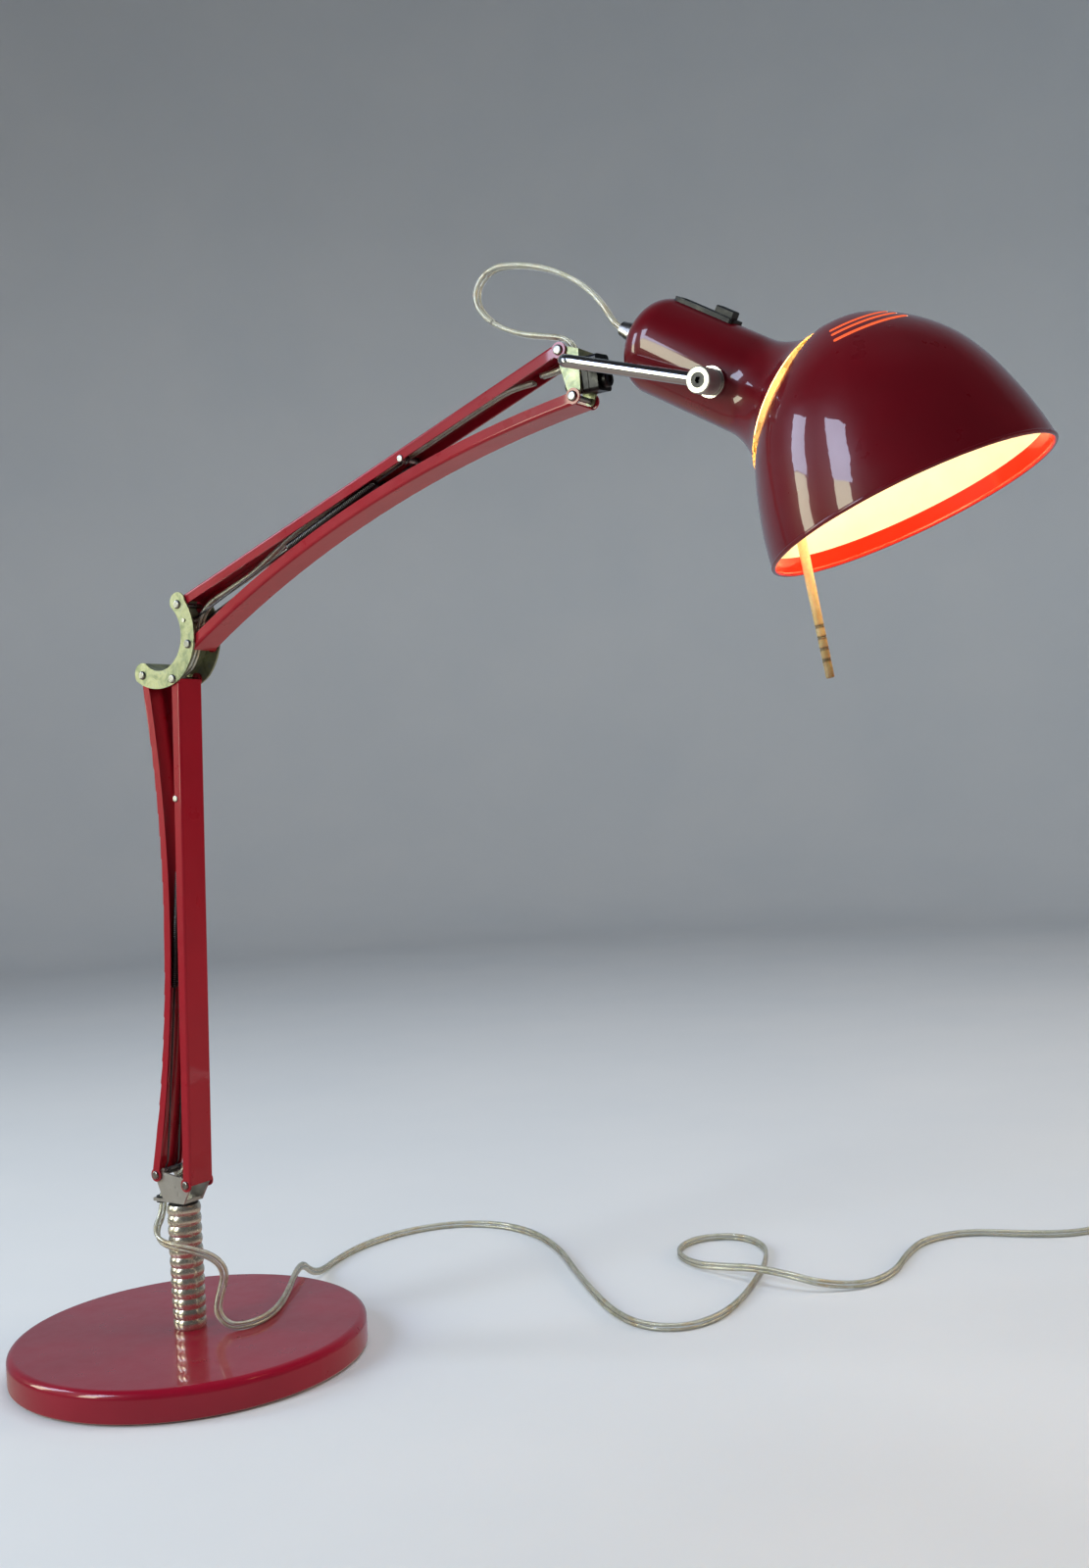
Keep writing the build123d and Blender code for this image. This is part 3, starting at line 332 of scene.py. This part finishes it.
HEAD_LOOP = (
    (0.3595, -0.0024, 0.5752), (0.3550, -0.0022, 0.5783), (0.3485, -0.0019, 0.5903),
    (0.3365, -0.0013, 0.6033), (0.3175, -0.0005, 0.6153), (0.2975, 0.0005, 0.6223),
    (0.2795, 0.0013, 0.6253), (0.2685, 0.0018, 0.6193), (0.2660, 0.0019, 0.6083),
    (0.2755, 0.0015, 0.5963), (0.2935, 0.0006, 0.5863), (0.3135, -0.0003, 0.5808),
    (0.3245, -0.0008, 0.5778), (0.3299, -0.0010, 0.5713), (0.3285, -0.0010, 0.5643),
    (0.3205, -0.0006, 0.5618), (0.3075, 0, 0.5613),
)
LOOP_SPANS = (                           # two bodies, and the shares of the loop where a span starts and ends
    ("head", "yoke", 0.0, 0.40), ("yoke", "clamp", 0.40, 0.57),
    ("clamp", "head_bracket", 0.57, 0.74), ("head_bracket", "upper_top_link", 0.74, 1.0),
)


def along_arm(start, degrees, distance, offset):
    """A point in an arm's plane: a distance along it from a pivot, and an offset towards its left."""
    turn = math.radians(degrees)
    forward = Vector((math.cos(turn), 0, math.sin(turn)))
    left = Vector((-math.sin(turn), 0, math.cos(turn)))
    return Vector(start) + forward * distance + left * offset


def held_cable(name, route, node, body):
    """A length of flex that stays on one body."""
    line = route_line([tuple(p) for p in route])
    jacket, conductors = flex(name, line, sideways(line, ACROSS))
    for piece in (jacket, conductors):
        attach(piece, body)
    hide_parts(node)
    return jacket, conductors


def bending_cable(name, route, node):
    """A length of flex across the joint between two bodies, baked into the world rather than attached to
    either.
    """
    line = route_line([tuple(p) for p in route])
    jacket, conductors = flex(name, line, sideways(line, ACROSS))
    for piece in (jacket, conductors):
        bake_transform(piece)
    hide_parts(node)
    return jacket, conductors


def head_loop():
    """The free loop over the head bracket, cut into one span for each joint that it crosses."""
    line = route_line(HEAD_LOOP)
    widths = sideways(line, ACROSS, sway=0.10)
    pieces = []
    for n, (start_body, end_body, start, end) in enumerate(LOOP_SPANS):
        first, last = round(start * (len(line) - 1)), round(end * (len(line) - 1))
        span = line[first:last + 1]
        jacket, conductors = flex(f"head_flex_{n + 1}", span, widths[first:last + 1])
        for piece in (jacket, conductors):
            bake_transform(piece)
        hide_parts("head_cable")
        pieces += [jacket, conductors]
    return pieces


def add_arm_cables():
    """The cable from the post to the head, cut where it passes from one body to the next."""
    lower_foot = along_arm(FOOT_FRONT, LOWER_ANGLE, 0.0242, -INSET)
    lower_top = along_arm(FOOT_FRONT, LOWER_ANGLE, 0.296, 0.0082)
    upper_foot = along_arm(UPPER_TOP, UPPER_RISE, 0.022, -OUTSET)
    elbow_middle = (0.0435, 0, 0.456)
    foot = [(-0.014, -0.004, 0.1012), (-0.0138, -0.0036, 0.1042), (-0.004, -0.0015, 0.1105),
            (0.004, -0.0003, 0.121), lower_foot + Vector((-0.0014, 0, -0.006)), lower_foot]
    lower = [lower_foot, *(along_arm(FOOT_FRONT, LOWER_ANGLE, s, offset) for s, offset in (
        (0.07, -0.0014), (0.13, -0.0019), (0.19, -0.0016), (0.21, -0.0006), (0.235, 0.0052), (0.256, 0.0074),
        (0.278, 0.0082))), lower_top]
    elbow_low = [lower_top, (0.0224, 0, 0.4150), (0.0250, 0, 0.422), (0.0257, 0, 0.4275),
                 (0.0285, 0, 0.4300), (0.0346, 0, 0.4332), (0.0404, 0, 0.443), (0.0412, 0, 0.4492),
                 elbow_middle]
    elbow_high = [elbow_middle, (0.0462, 0, 0.4630), along_arm(UPPER_TOP, UPPER_RISE, 0.0155, -0.0064),
                  upper_foot]
    upper = [upper_foot, *(along_arm(UPPER_TOP, UPPER_RISE, s, offset) for s, offset in (
        (0.045, -OUTSET), (0.062, -0.0052), (0.083, -0.0010), (0.100, INSET), (0.13, 0.0019), (0.19, 0.0015),
        (0.25, INSET), (0.268, 0.0008), (0.280, -0.0035)))]
    return [
        *bending_cable("foot_flex", foot, "foot_cable"),
        *held_cable("lower_flex", lower, "lower_cable", "lower_front_link"),
        *bending_cable("elbow_flex_low", elbow_low, "elbow_cable_low"),
        *bending_cable("elbow_flex_high", elbow_high, "elbow_cable_high"),
        *held_cable("upper_flex", upper, "upper_cable", "upper_top_link"),
        *head_loop(),
    ]


arm_cables = add_arm_cables()


# ---------------------------------------------------------------- balance springs
WIRE = 0.0006                            # radius of the wire
COIL_MEAN = 0.0021                       # radius of the coils, at the wire's centre
SPRING_PITCH = 0.00128
TURN_POINTS = 14
COIL_BLEND = 10                          # points over which the straight wire widens into the coils
HOOK = 0.0020                            # radius of a hook round its pin
HOOK_START = 50                          # degrees round the pin, from the spring's own direction
HOOK_END = 318
HOOK_POINTS = 14
HOOK_THROAT = ((0.0031, -0.0007, 0), (0.0048, 0, 0))     # where a hook runs into the straight wire
SPRING_SIDE = 0.0043                     # from the arm's middle to each spring of a pair
SPRINGS = (                              # name, CAD node, pins, bodies, and where the coils start and end
    ("lower_spring", "lower_springs", FOOT_SPRING_PIN, LOWER_SPRING_PIN, ("foot", "lower_front_link"),
     0.116, 0.190),
    ("upper_spring", "upper_springs", ELBOW_SPRING_PIN, UPPER_SPRING_PIN, ("elbow", "upper_top_link"),
     0.090, 0.165),
)


def hook_points():
    turn = HOOK_END - HOOK_START
    angles = [math.radians(HOOK_START + turn * k / HOOK_POINTS) for k in range(HOOK_POINTS + 1)]
    return [(HOOK * math.cos(a), HOOK * math.sin(a), 0.0) for a in angles]


def coil_points(coil_from, coil_to):
    count = round((coil_to - coil_from) / SPRING_PITCH) * TURN_POINTS
    points = []
    for n in range(count + 1):
        radius = COIL_MEAN * min(ease(n, 0, COIL_BLEND), ease(count - n, 0, COIL_BLEND))
        angle = 2 * math.pi * n / TURN_POINTS
        along = coil_from + (coil_to - coil_from) * n / count
        points.append((along, radius * math.sin(angle), radius * math.cos(angle)))
    return points


def spring(name, low, high, coil_from, coil_to, y):
    """A close-wound spring with a long straight wire and a hook to the pin at each end.

    Its points are worked out as (along, left, across) from the low pin.
    """
    forward = (high - low).normalized()
    left = ACROSS.cross(forward)
    reach = (high - low).length
    end = [*hook_points(), *HOOK_THROAT]
    local = [*end, *((coil_from * k / 8, 0, 0) for k in range(1, 8)), *coil_points(coil_from, coil_to)]
    local += [(coil_to + (reach - coil_to) * k / 6, 0, 0) for k in range(1, 6)]
    local += [(reach - a, b, 0) for a, b, _ in reversed(end)]
    line = [low + forward * a + left * b + ACROSS * (c + y) for a, b, c in local]
    return tube(name, line, sideways(line, ACROSS), circle(WIRE, 6))


def add_springs():
    pieces = []
    for name, node, low, high, bodies, coil_from, coil_to in SPRINGS:
        for side, y in (("near", -SPRING_SIDE), ("far", SPRING_SIDE)):
            piece = spring(f"{name}_{side}", low, high, coil_from, coil_to, y)
            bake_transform(piece)
            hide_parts(node)
            pieces.append(piece)
    return pieces


spring_pieces = add_springs()


# ---------------------------------------------------------------- shader helpers
class Paint:
    """A Principled material, and short ways to feed its sockets from textures in object space."""

    def __init__(self, name, **sockets):
        self.material = bpy.data.materials.new(name)
        self.material.use_nodes = True
        self.tree = self.material.node_tree
        self.shader = self.tree.nodes["Principled BSDF"]
        coordinates = self.node("ShaderNodeTexCoord")
        self.place = coordinates.outputs["Object"]
        self.normal = coordinates.outputs["Normal"]
        for socket, value in sockets.items():
            self.shader.inputs[socket.replace("_", " ")].default_value = value

    def node(self, kind, **settings):
        made = self.tree.nodes.new(kind)
        for setting, value in settings.items():
            setattr(made, setting, value)
        return made

    def link(self, source, target):
        self.tree.links.new(source, target)

    def noise(self, scale, detail=4.0, roughness=0.55, distortion=0.0):
        """Noise from 0 to 1; scale is features in a metre."""
        texture = self.node("ShaderNodeTexNoise")
        texture.inputs["Scale"].default_value = scale
        texture.inputs["Detail"].default_value = detail
        texture.inputs["Roughness"].default_value = roughness
        texture.inputs["Distortion"].default_value = distortion
        self.link(self.place, texture.inputs["Vector"])
        return texture.outputs["Fac"]

    def ramp(self, source, *stops):
        """A colour or grey for each (position, value) stop."""
        made = self.node("ShaderNodeValToRGB")
        elements = made.color_ramp.elements
        while len(elements) < len(stops):
            elements.new(0.5)
        for element, (position, value) in zip(elements, stops):
            element.position = position
            element.color = (*value, 1) if isinstance(value, tuple) else (value, value, value, 1)
        self.link(source, made.inputs["Fac"])
        return made.outputs["Color"]

    def math(self, operation, first, second=0.0):
        made = self.node("ShaderNodeMath", operation=operation)
        for socket, value in zip(made.inputs, (first, second)):
            if isinstance(value, (int, float)):
                socket.default_value = value
            else:
                self.link(value, socket)
        return made.outputs[0]

    def vector(self, operation, first, second, output="Vector"):
        made = self.node("ShaderNodeVectorMath", operation=operation)
        self.link(first, made.inputs[0])
        if isinstance(second, Vector):
            made.inputs[1].default_value = second
        else:
            self.link(second, made.inputs[1])
        return made.outputs[output]

    def mix(self, factor, first, second):
        """A blend of two colours, each given as a tuple or taken from a socket."""
        made = self.node("ShaderNodeMix", data_type="RGBA")
        for socket, value in ((made.inputs[0], factor), (made.inputs[6], first), (made.inputs[7], second)):
            if isinstance(value, tuple):
                socket.default_value = (*value, 1)
            elif isinstance(value, (int, float)):
                socket.default_value = value
            else:
                self.link(value, socket)
        return made.outputs[2]

    def colour(self, source):
        self.link(source, self.shader.inputs["Base Color"])
        return self

    def rough(self, source):
        self.link(source, self.shader.inputs["Roughness"])
        return self

    def bump(self, source, strength, distance):
        made = self.node("ShaderNodeBump")
        made.inputs["Strength"].default_value = strength
        made.inputs["Distance"].default_value = distance
        self.link(source, made.inputs["Height"])
        self.link(made.outputs["Normal"], self.shader.inputs["Normal"])
        return self


def scaled(colour, factor):
    return tuple(channel * factor for channel in colour)


# ---------------------------------------------------------------- materials
ENAMEL = (0.270, 0.0035, 0.0200)
# the neck's and dome's red enamel, at about half the tone of the rest: painted shade on the head
HEAD_ENAMEL_IN_SHADE = (0.135, 0.0030, 0.0080)
ARM_ENAMEL = (0.330, 0.0050, 0.0160)
LIT_RIM_ENAMEL = (0.80, 0.018, 0.003)         # the red enamel inside the rim, brighter than outside: real red paint with painted light from the bulb
VENT_HEIGHT = 0.068                      # the slots in the crown are above this height over the rim
VENT_SLANT = 0.3                         # a wall whose normal has less than this along the dome is a slot's
VENT_GLOW = (1.0, 0.16, 0.05)            # bulb light on the slots' walls
WARM_WHITE = ((0.80, 0.73, 0.57), (0.86, 0.80, 0.65))
WARM_AMBER = ((0.62, 0.33, 0.11), (0.70, 0.38, 0.13))
RIM_BAND = 0.008                         # height of the bright band inside the dome's edge
DOME_CENTRE = 0.022                      # the height over the rim that the dome's inside faces
SHADE_RIM = Vector((0.50306, 0.00910, 0.46592))      # the rim's centre
SHADE_UP = Vector((-0.3396, -0.0983, 0.9354))        # the dome's axis
NECK_START = Vector((0.42071, 0.00147, 0.53849))     # a point on the neck's axis
NECK_OUT = Vector((0.8563, 0.0540, -0.5137))         # the neck's axis, towards the shade


def enamel(name, colour, peel=0.10):
    """Sprayed gloss enamel: small changes of depth, fine orange peel and a little dust."""
    paint = Paint(name, Coat_Weight=0.8, Coat_Roughness=0.03, Coat_IOR=1.5, Specular_IOR_Level=0.2)
    depth = paint.noise(14, detail=3)
    base = paint.ramp(depth, (0.3, scaled(colour, 0.86)), (0.7, scaled(colour, 1.08)))
    dust = paint.ramp(paint.noise(900, detail=2), (0.70, 0.0), (0.76, 1.0))
    light = paint.mix(paint.math("MULTIPLY", dust, 0.5), base, scaled(colour, 1.5))
    paint.colour(light)
    paint.rough(paint.ramp(paint.noise(60, detail=5), (0.3, 0.26), (0.7, 0.38)))
    paint.bump(paint.noise(330, detail=2), peel, 0.00025)
    return paint, light


def from_point(paint, origin):
    """Each surface point's offset from an origin."""
    return paint.vector("SUBTRACT", paint.place, origin)


def height_over(paint, origin, direction):
    """How far each surface point is from an origin along a direction, in metres."""
    return paint.vector("DOT_PRODUCT", from_point(paint, origin), direction, "Value")


def from_axis(paint, origin, direction):
    """Each surface point's offset from the axis through an origin."""
    along = paint.node("ShaderNodeVectorMath", operation="SCALE")
    along.inputs[0].default_value = direction
    paint.link(height_over(paint, origin, direction), along.inputs["Scale"])
    return paint.vector("SUBTRACT", from_point(paint, origin), along.outputs["Vector"])


def facing_inwards(paint, outwards):
    """1 where a surface's normal points against outwards, and 0 elsewhere."""
    return paint.math("LESS_THAN", paint.vector("DOT_PRODUCT", outwards, paint.normal, "Value"), 0.0)


def lining(paint, tones):
    return paint.ramp(paint.noise(40), (0.3, tones[0]), (0.7, tones[1]))


def neck_enamel():
    """Red outside, darkened as painted shade, and an amber lining where the surface faces the neck's axis."""
    paint, red = enamel("neck_enamel", HEAD_ENAMEL_IN_SHADE)
    inside = facing_inwards(paint, from_axis(paint, NECK_START, NECK_OUT))
    return paint.colour(paint.mix(inside, red, lining(paint, WARM_AMBER)))


def dome_enamel():
    """Red outside, darkened as painted shade; a pale lining with a bright red band inside the rim, and lit
    walls in the vents.
    """
    paint, red = enamel("shade_enamel", HEAD_ENAMEL_IN_SHADE)
    height = height_over(paint, SHADE_RIM, SHADE_UP)
    inside = facing_inwards(paint, from_point(paint, SHADE_RIM + SHADE_UP * DOME_CENTRE))
    above = paint.math("GREATER_THAN", height, RIM_BAND)
    edge = paint.mix(inside, red, LIT_RIM_ENAMEL)
    paint.colour(paint.mix(paint.math("MULTIPLY", inside, above), edge, lining(paint, WARM_WHITE)))
    slant = paint.math("ABSOLUTE", paint.vector("DOT_PRODUCT", paint.normal, SHADE_UP, "Value"))
    in_crown = paint.math("GREATER_THAN", height, VENT_HEIGHT)
    vents = paint.math("MULTIPLY", paint.math("LESS_THAN", slant, VENT_SLANT), in_crown)
    paint.link(paint.mix(vents, (0, 0, 0), VENT_GLOW), paint.shader.inputs["Emission Color"])
    paint.shader.inputs["Emission Strength"].default_value = 1.0
    return paint


def metal(name, colour, low, high, scratch=0.04, variation=0.12, **sockets):
    """Metal with small changes of tone, a roughness from low to high, and fine marks."""
    paint = Paint(name, **{"Metallic": 1.0, **sockets})
    tone = paint.noise(50)
    paint.colour(paint.ramp(tone, (0.3, scaled(colour, 1 - variation)), (0.7, scaled(colour, 1 + variation))))
    paint.rough(paint.ramp(paint.noise(300, detail=5), (0.3, low), (0.7, high)))
    return paint.bump(paint.noise(1200, detail=3), scratch, 0.00006)


def zinc():
    """Yellow-passivated zinc plate: cloudy green, straw and grey patches."""
    paint = Paint("zinc_steel", Metallic=0.75)
    clouds = paint.noise(95, detail=6, roughness=0.62, distortion=1.2)
    straw = paint.ramp(clouds, (0.30, (0.11, 0.13, 0.085)), (0.44, (0.22, 0.25, 0.15)),
                       (0.56, (0.33, 0.34, 0.20)), (0.70, (0.20, 0.24, 0.20)))
    pale = paint.ramp(paint.noise(420, detail=3), (0.45, 0.0), (0.75, 1.0))
    paint.colour(paint.mix(paint.math("MULTIPLY", pale, 0.25), straw, (0.42, 0.45, 0.36)))
    paint.rough(paint.ramp(paint.noise(240), (0.3, 0.28), (0.7, 0.46)))
    return paint.bump(paint.noise(1500, detail=3), 0.08, 0.00008)


def moulded(name, colour, low, high, grain=0.12, **sockets):
    """Moulded plastic with a fine grain and a few rubbed patches."""
    paint = Paint(name, **sockets)
    tone = paint.noise(120)
    paint.colour(paint.ramp(tone, (0.3, scaled(colour, 0.82)), (0.7, scaled(colour, 1.15))))
    paint.rough(paint.ramp(paint.noise(180, detail=5), (0.3, low), (0.7, high)))
    return paint.bump(paint.noise(1800, detail=2), grain, 0.00008)


def felt():
    paint = Paint("felt", Roughness=1.0, Sheen_Weight=0.6)
    fibres = paint.noise(2600, detail=6, distortion=2.0)
    paint.colour(paint.ramp(fibres, (0.3, (0.012, 0.012, 0.014)), (0.7, (0.05, 0.05, 0.055))))
    return paint.bump(fibres, 0.8, 0.0004)


def clear_jacket():
    paint = Paint("clear_flex", Transmission_Weight=1.0, IOR=1.46, Base_Color=(0.93, 0.94, 0.90, 1))
    paint.rough(paint.ramp(paint.noise(160), (0.35, 0.04), (0.7, 0.16)))
    return paint.bump(paint.noise(320, detail=3), 0.10, 0.0002)


def tinned_strands():
    """Fine tinned strands seen through the jacket, silvery with olive and coppery lengths."""
    paint = Paint("tinned_strands", Metallic=0.6)
    lengths = paint.noise(90, detail=3)
    tint = paint.ramp(lengths, (0.32, (0.66, 0.64, 0.48)), (0.5, (0.86, 0.85, 0.76)),
                      (0.68, (0.78, 0.64, 0.44)))
    strands = paint.noise(2400, detail=2, distortion=0.6)
    paint.colour(paint.mix(paint.ramp(strands, (0.4, 0.0), (0.6, 0.4)), tint, (0.40, 0.38, 0.30)))
    paint.rough(paint.ramp(strands, (0.3, 0.25), (0.7, 0.5)))
    return paint.bump(strands, 0.4, 0.0002)


HANDLE_TIP = Vector((0.4538, 0.0170, 0.3909))
HANDLE_UP = Vector((-0.1162, -0.1038, 0.9878))
HANDLE_LENGTH = 0.0723
HANDLE_GROOVES = (0.009, 0.0145, 0.020, 0.0255)     # distances from the tip
GROOVE_REACH = 0.002                     # a groove's darkening is within a part of this distance


def cream_handle():
    """Translucent plastic that is darker towards its free end, and darker in its grooves."""
    paint = Paint("cream_plastic", Subsurface_Weight=0.35, Subsurface_Scale=0.004, Coat_Weight=0.3)
    height = height_over(paint, HANDLE_TIP, HANDLE_UP)
    tip = paint.ramp(paint.math("DIVIDE", height, HANDLE_LENGTH), (0.0, (0.20, 0.13, 0.045)),
                     (0.40, (0.48, 0.35, 0.14)), (0.80, (0.82, 0.66, 0.34)))
    cloudy = paint.mix(paint.ramp(paint.noise(150), (0.4, 0.0), (0.8, 0.30)), tip, (0.88, 0.78, 0.52))
    for groove in HANDLE_GROOVES:
        # each groove is darker in a narrow band round it
        away = paint.math("ABSOLUTE", paint.math("SUBTRACT", height, groove))
        groove_darkening = paint.ramp(paint.math("MULTIPLY", away, 1 / GROOVE_REACH), (0.30, 0.75), (0.62, 0.0))
        cloudy = paint.mix(groove_darkening, cloudy, (0.05, 0.032, 0.012))
    paint.colour(cloudy)
    paint.rough(paint.ramp(paint.noise(400), (0.3, 0.22), (0.7, 0.36)))
    return paint.bump(paint.noise(900, detail=2), 0.05, 0.0001)


BULB_STRENGTH = 17.0


def lit_glass():
    """A bulb that is on, a little uneven over its glass."""
    paint = Paint("lit_glass", Base_Color=(1, 0.93, 0.80, 1), Roughness=0.3, Emission_Strength=BULB_STRENGTH)
    glow = paint.noise(30, detail=2)
    paint.link(paint.ramp(glow, (0.3, (1.0, 0.66, 0.32)), (0.7, (1.0, 0.72, 0.40))),
               paint.shader.inputs["Emission Color"])
    return paint


def make_materials():
    return {
        "base_enamel": enamel("base_enamel", ENAMEL, 0.14)[0],
        "arm_enamel": enamel("arm_enamel", ARM_ENAMEL, 0.12)[0],
        "shade_enamel": dome_enamel(),
        "neck_enamel": neck_enamel(),
        "chrome": metal("chrome", (0.50, 0.51, 0.52), 0.14, 0.24, scratch=0.02, variation=0.05),
        "zinc_steel": zinc(),
        "steel": metal("steel", (0.52, 0.52, 0.51), 0.22, 0.38),
        "nickel": metal("nickel", (0.74, 0.69, 0.58), 0.18, 0.30, Metallic=0.85),
        "plated_steel": metal("plated_steel", (0.52, 0.51, 0.47), 0.26, 0.40, Metallic=0.70),
        "bright_steel": metal("bright_steel", (0.80, 0.79, 0.76), 0.16, 0.28),
        "rivet_steel": metal("rivet_steel", (0.30, 0.30, 0.29), 0.20, 0.40, variation=0.3),
        "spring_steel": metal("spring_steel", (0.13, 0.13, 0.14), 0.24, 0.42, variation=0.25),
        "black_steel": metal("black_steel", (0.035, 0.035, 0.038), 0.25, 0.42, variation=0.3),
        "black_plastic": moulded("black_plastic", (0.009, 0.009, 0.010), 0.30, 0.48, Specular_IOR_Level=0.3),
        "felt": felt(),
        "clear_flex": clear_jacket(),
        "tinned_strands": tinned_strands(),
        "cream_plastic": cream_handle(),
        "white_plastic": moulded("white_plastic", (0.78, 0.77, 0.73), 0.24, 0.38, grain=0.05),
        "plated_brass": metal("plated_brass", (0.66, 0.60, 0.46), 0.14, 0.28),
        "lit_glass": lit_glass(),
    }


PAINT_OF = {                             # nodes whose slot in the record is only near to their look
    "base_disc": "base_enamel", "neck_shell": "neck_enamel", "shade_dome": "shade_enamel",
    "lower_rear_link": "arm_enamel", "lower_front_link": "arm_enamel",
    "upper_top_link": "arm_enamel", "upper_bottom_link": "arm_enamel",
    "post_tube": "nickel", "foot_bracket": "plated_steel", "yoke_boss_near": "plated_steel",
    "yoke_boss_far": "plated_steel", "boss_washer_near": "bright_steel", "boss_washer_far": "bright_steel",
    "elbow_rivets": "rivet_steel", "foot_rivets": "rivet_steel", "head_rivets": "rivet_steel",
}


def new_piece_paint(piece):
    """The material of a piece that scene.py makes, from the piece's name."""
    for part, paint in (("cores", "tinned_strands"), ("tie", "black_plastic"), ("spring", "spring_steel")):
        if part in piece.name:
            return paint
    return "clear_flex"


def dress(paints):
    """Gives every CAD node the material of its slot, or a closer one, and each new piece its own."""
    slots = {part["node"]: part["material_slot"] for part in frame["record"]["subparts"]}
    for name, piece in frame["nodes"].items():
        material = paints[PAINT_OF.get(name, slots[name])].material
        piece.data.materials.clear()
        piece.data.materials.append(material)
    for piece in (*mains_pieces, *arm_cables, *spring_pieces):
        piece.data.materials.append(paints[new_piece_paint(piece)].material)


dress(make_materials())


# ---------------------------------------------------------------- stage and lights
FLOOR_MIDDLE = 1.2                       # radius of the floor's middle face
STAGE_RADIUS = 2.7                       # where the floor starts to curve up
STAGE_CURVE = 0.9
WALL_TOP = 3.2
CURVE_STEPS = 12
STAGE_SIDES = 96
BEHIND_LAMP = (-0.548, 0.836, 0)         # the level direction in which the photograph looks
DIM_ROOM = (0.030, 0.030, 0.034)
PALE_WALL = (0.26, 0.31, 0.36)
PALE_FLOOR = (0.42, 0.36, 0.32)
LAMP_MIDDLE = (0.25, 0, 0.35)
SKY = (0.66, 0.76, 1.0)
GARDEN = (0.90, 0.92, 0.70)


def add_stage():
    """A pale floor that curves up into a wall all round."""
    profile = [(FLOOR_MIDDLE, 0.0), (STAGE_RADIUS, 0.0)]
    for k in range(1, CURVE_STEPS + 1):
        angle = math.pi / 2 * k / CURVE_STEPS
        profile.append((STAGE_RADIUS + STAGE_CURVE * math.sin(angle), STAGE_CURVE * (1 - math.cos(angle))))
    profile.append((STAGE_RADIUS + STAGE_CURVE, WALL_TOP))
    vertices = [(x, y, z) for r, z in profile for x, y in circle(r, STAGE_SIDES)]
    faces = [tuple(range(STAGE_SIDES))]
    for ring in range(len(profile) - 1):
        for k in range(STAGE_SIDES):
            here, following = ring * STAGE_SIDES + k, ring * STAGE_SIDES + (k + 1) % STAGE_SIDES
            faces.append((here, here + STAGE_SIDES, following + STAGE_SIDES, following))
    floor = add_mesh("stage", vertices, faces)
    paper = Paint("stage_paper", Roughness=0.85)
    paper.colour(paper.ramp(paper.noise(3), (0.3, (0.70, 0.73, 0.76)), (0.7, (0.74, 0.76, 0.78))))
    paper.bump(paper.noise(700), 0.05, 0.0002)
    floor.data.materials.append(paper.material)
    floor.visible_glossy = False


def glow_towards(tree, direction, *stops):
    """A colour for each direction of view, from how far it points along one direction."""
    product = tree.nodes.new("ShaderNodeVectorMath")
    product.operation = "DOT_PRODUCT"
    product.inputs[1].default_value = direction
    tree.links.new(tree.nodes.new("ShaderNodeTexCoord").outputs["Generated"], product.inputs[0])
    ramp = tree.nodes.new("ShaderNodeValToRGB")
    for element, (position, colour) in zip(ramp.color_ramp.elements, stops):
        element.position = position
        element.color = (*colour, 1)
    tree.links.new(product.outputs["Value"], ramp.inputs["Fac"])
    return ramp.outputs["Color"]


def add_world():
    """What shiny surfaces mirror: a pale wall behind the lamp, a dim room before it and the floor."""
    world = bpy.data.worlds.new("studio")
    world.use_nodes = True
    tree = world.node_tree
    room = glow_towards(tree, BEHIND_LAMP, (0.25, DIM_ROOM), (0.95, PALE_WALL))
    floor = glow_towards(tree, (0, 0, -1), (0.05, (0, 0, 0)), (0.35, PALE_FLOOR))
    both = tree.nodes.new("ShaderNodeMix")
    both.data_type = "RGBA"
    both.blend_type = "LIGHTEN"
    both.inputs[0].default_value = 1.0
    tree.links.new(room, both.inputs[6])
    tree.links.new(floor, both.inputs[7])
    tree.links.new(both.outputs[2], tree.nodes["Background"].inputs["Color"])
    bpy.context.scene.world = world


def add_light(name, place, aim, size, power, colour, mirrored=True):
    """A rectangular light, as wide and high as size."""
    data = bpy.data.lights.new(name, "AREA")
    data.shape = "RECTANGLE"
    data.size, data.size_y = size
    data.energy = power
    data.color = colour
    light = bpy.data.objects.new(name, data)
    light.location = place
    light.rotation_euler = (Vector(aim) - Vector(place)).to_track_quat("-Z", "Y").to_euler()
    light.visible_camera = False
    light.visible_glossy = mirrored
    bpy.context.scene.collection.objects.link(light)


def add_lights():
    """Two windows before the lamp, each with sky over a garden, and two lights that nothing mirrors."""
    for name, x, y, power in (("window_left", -0.55, -1.75, 15), ("window_far_left", -1.6, -1.0, 12)):
        add_light(f"{name}_sky", (x, y, 1.45), LAMP_MIDDLE, (0.55, 0.75), power, SKY)
        add_light(f"{name}_garden", (x, y, 0.68), LAMP_MIDDLE, (0.42, 0.75), power * 0.8, GARDEN)
    add_light("overhead", (0.3, 0.5, 2.3), (0.2, 0.1, 0), (1.6, 1.6), 26, (0.90, 0.95, 1.0), mirrored=False)
    add_light("warm_right", (1.9, 1.2, 0.7), (0.3, 0.2, 0.2), (1.0, 0.8), 16, (1.0, 0.78, 0.55),
              mirrored=False)


add_stage()
add_world()
add_lights()
bpy.context.scene.view_settings.view_transform = "Standard"
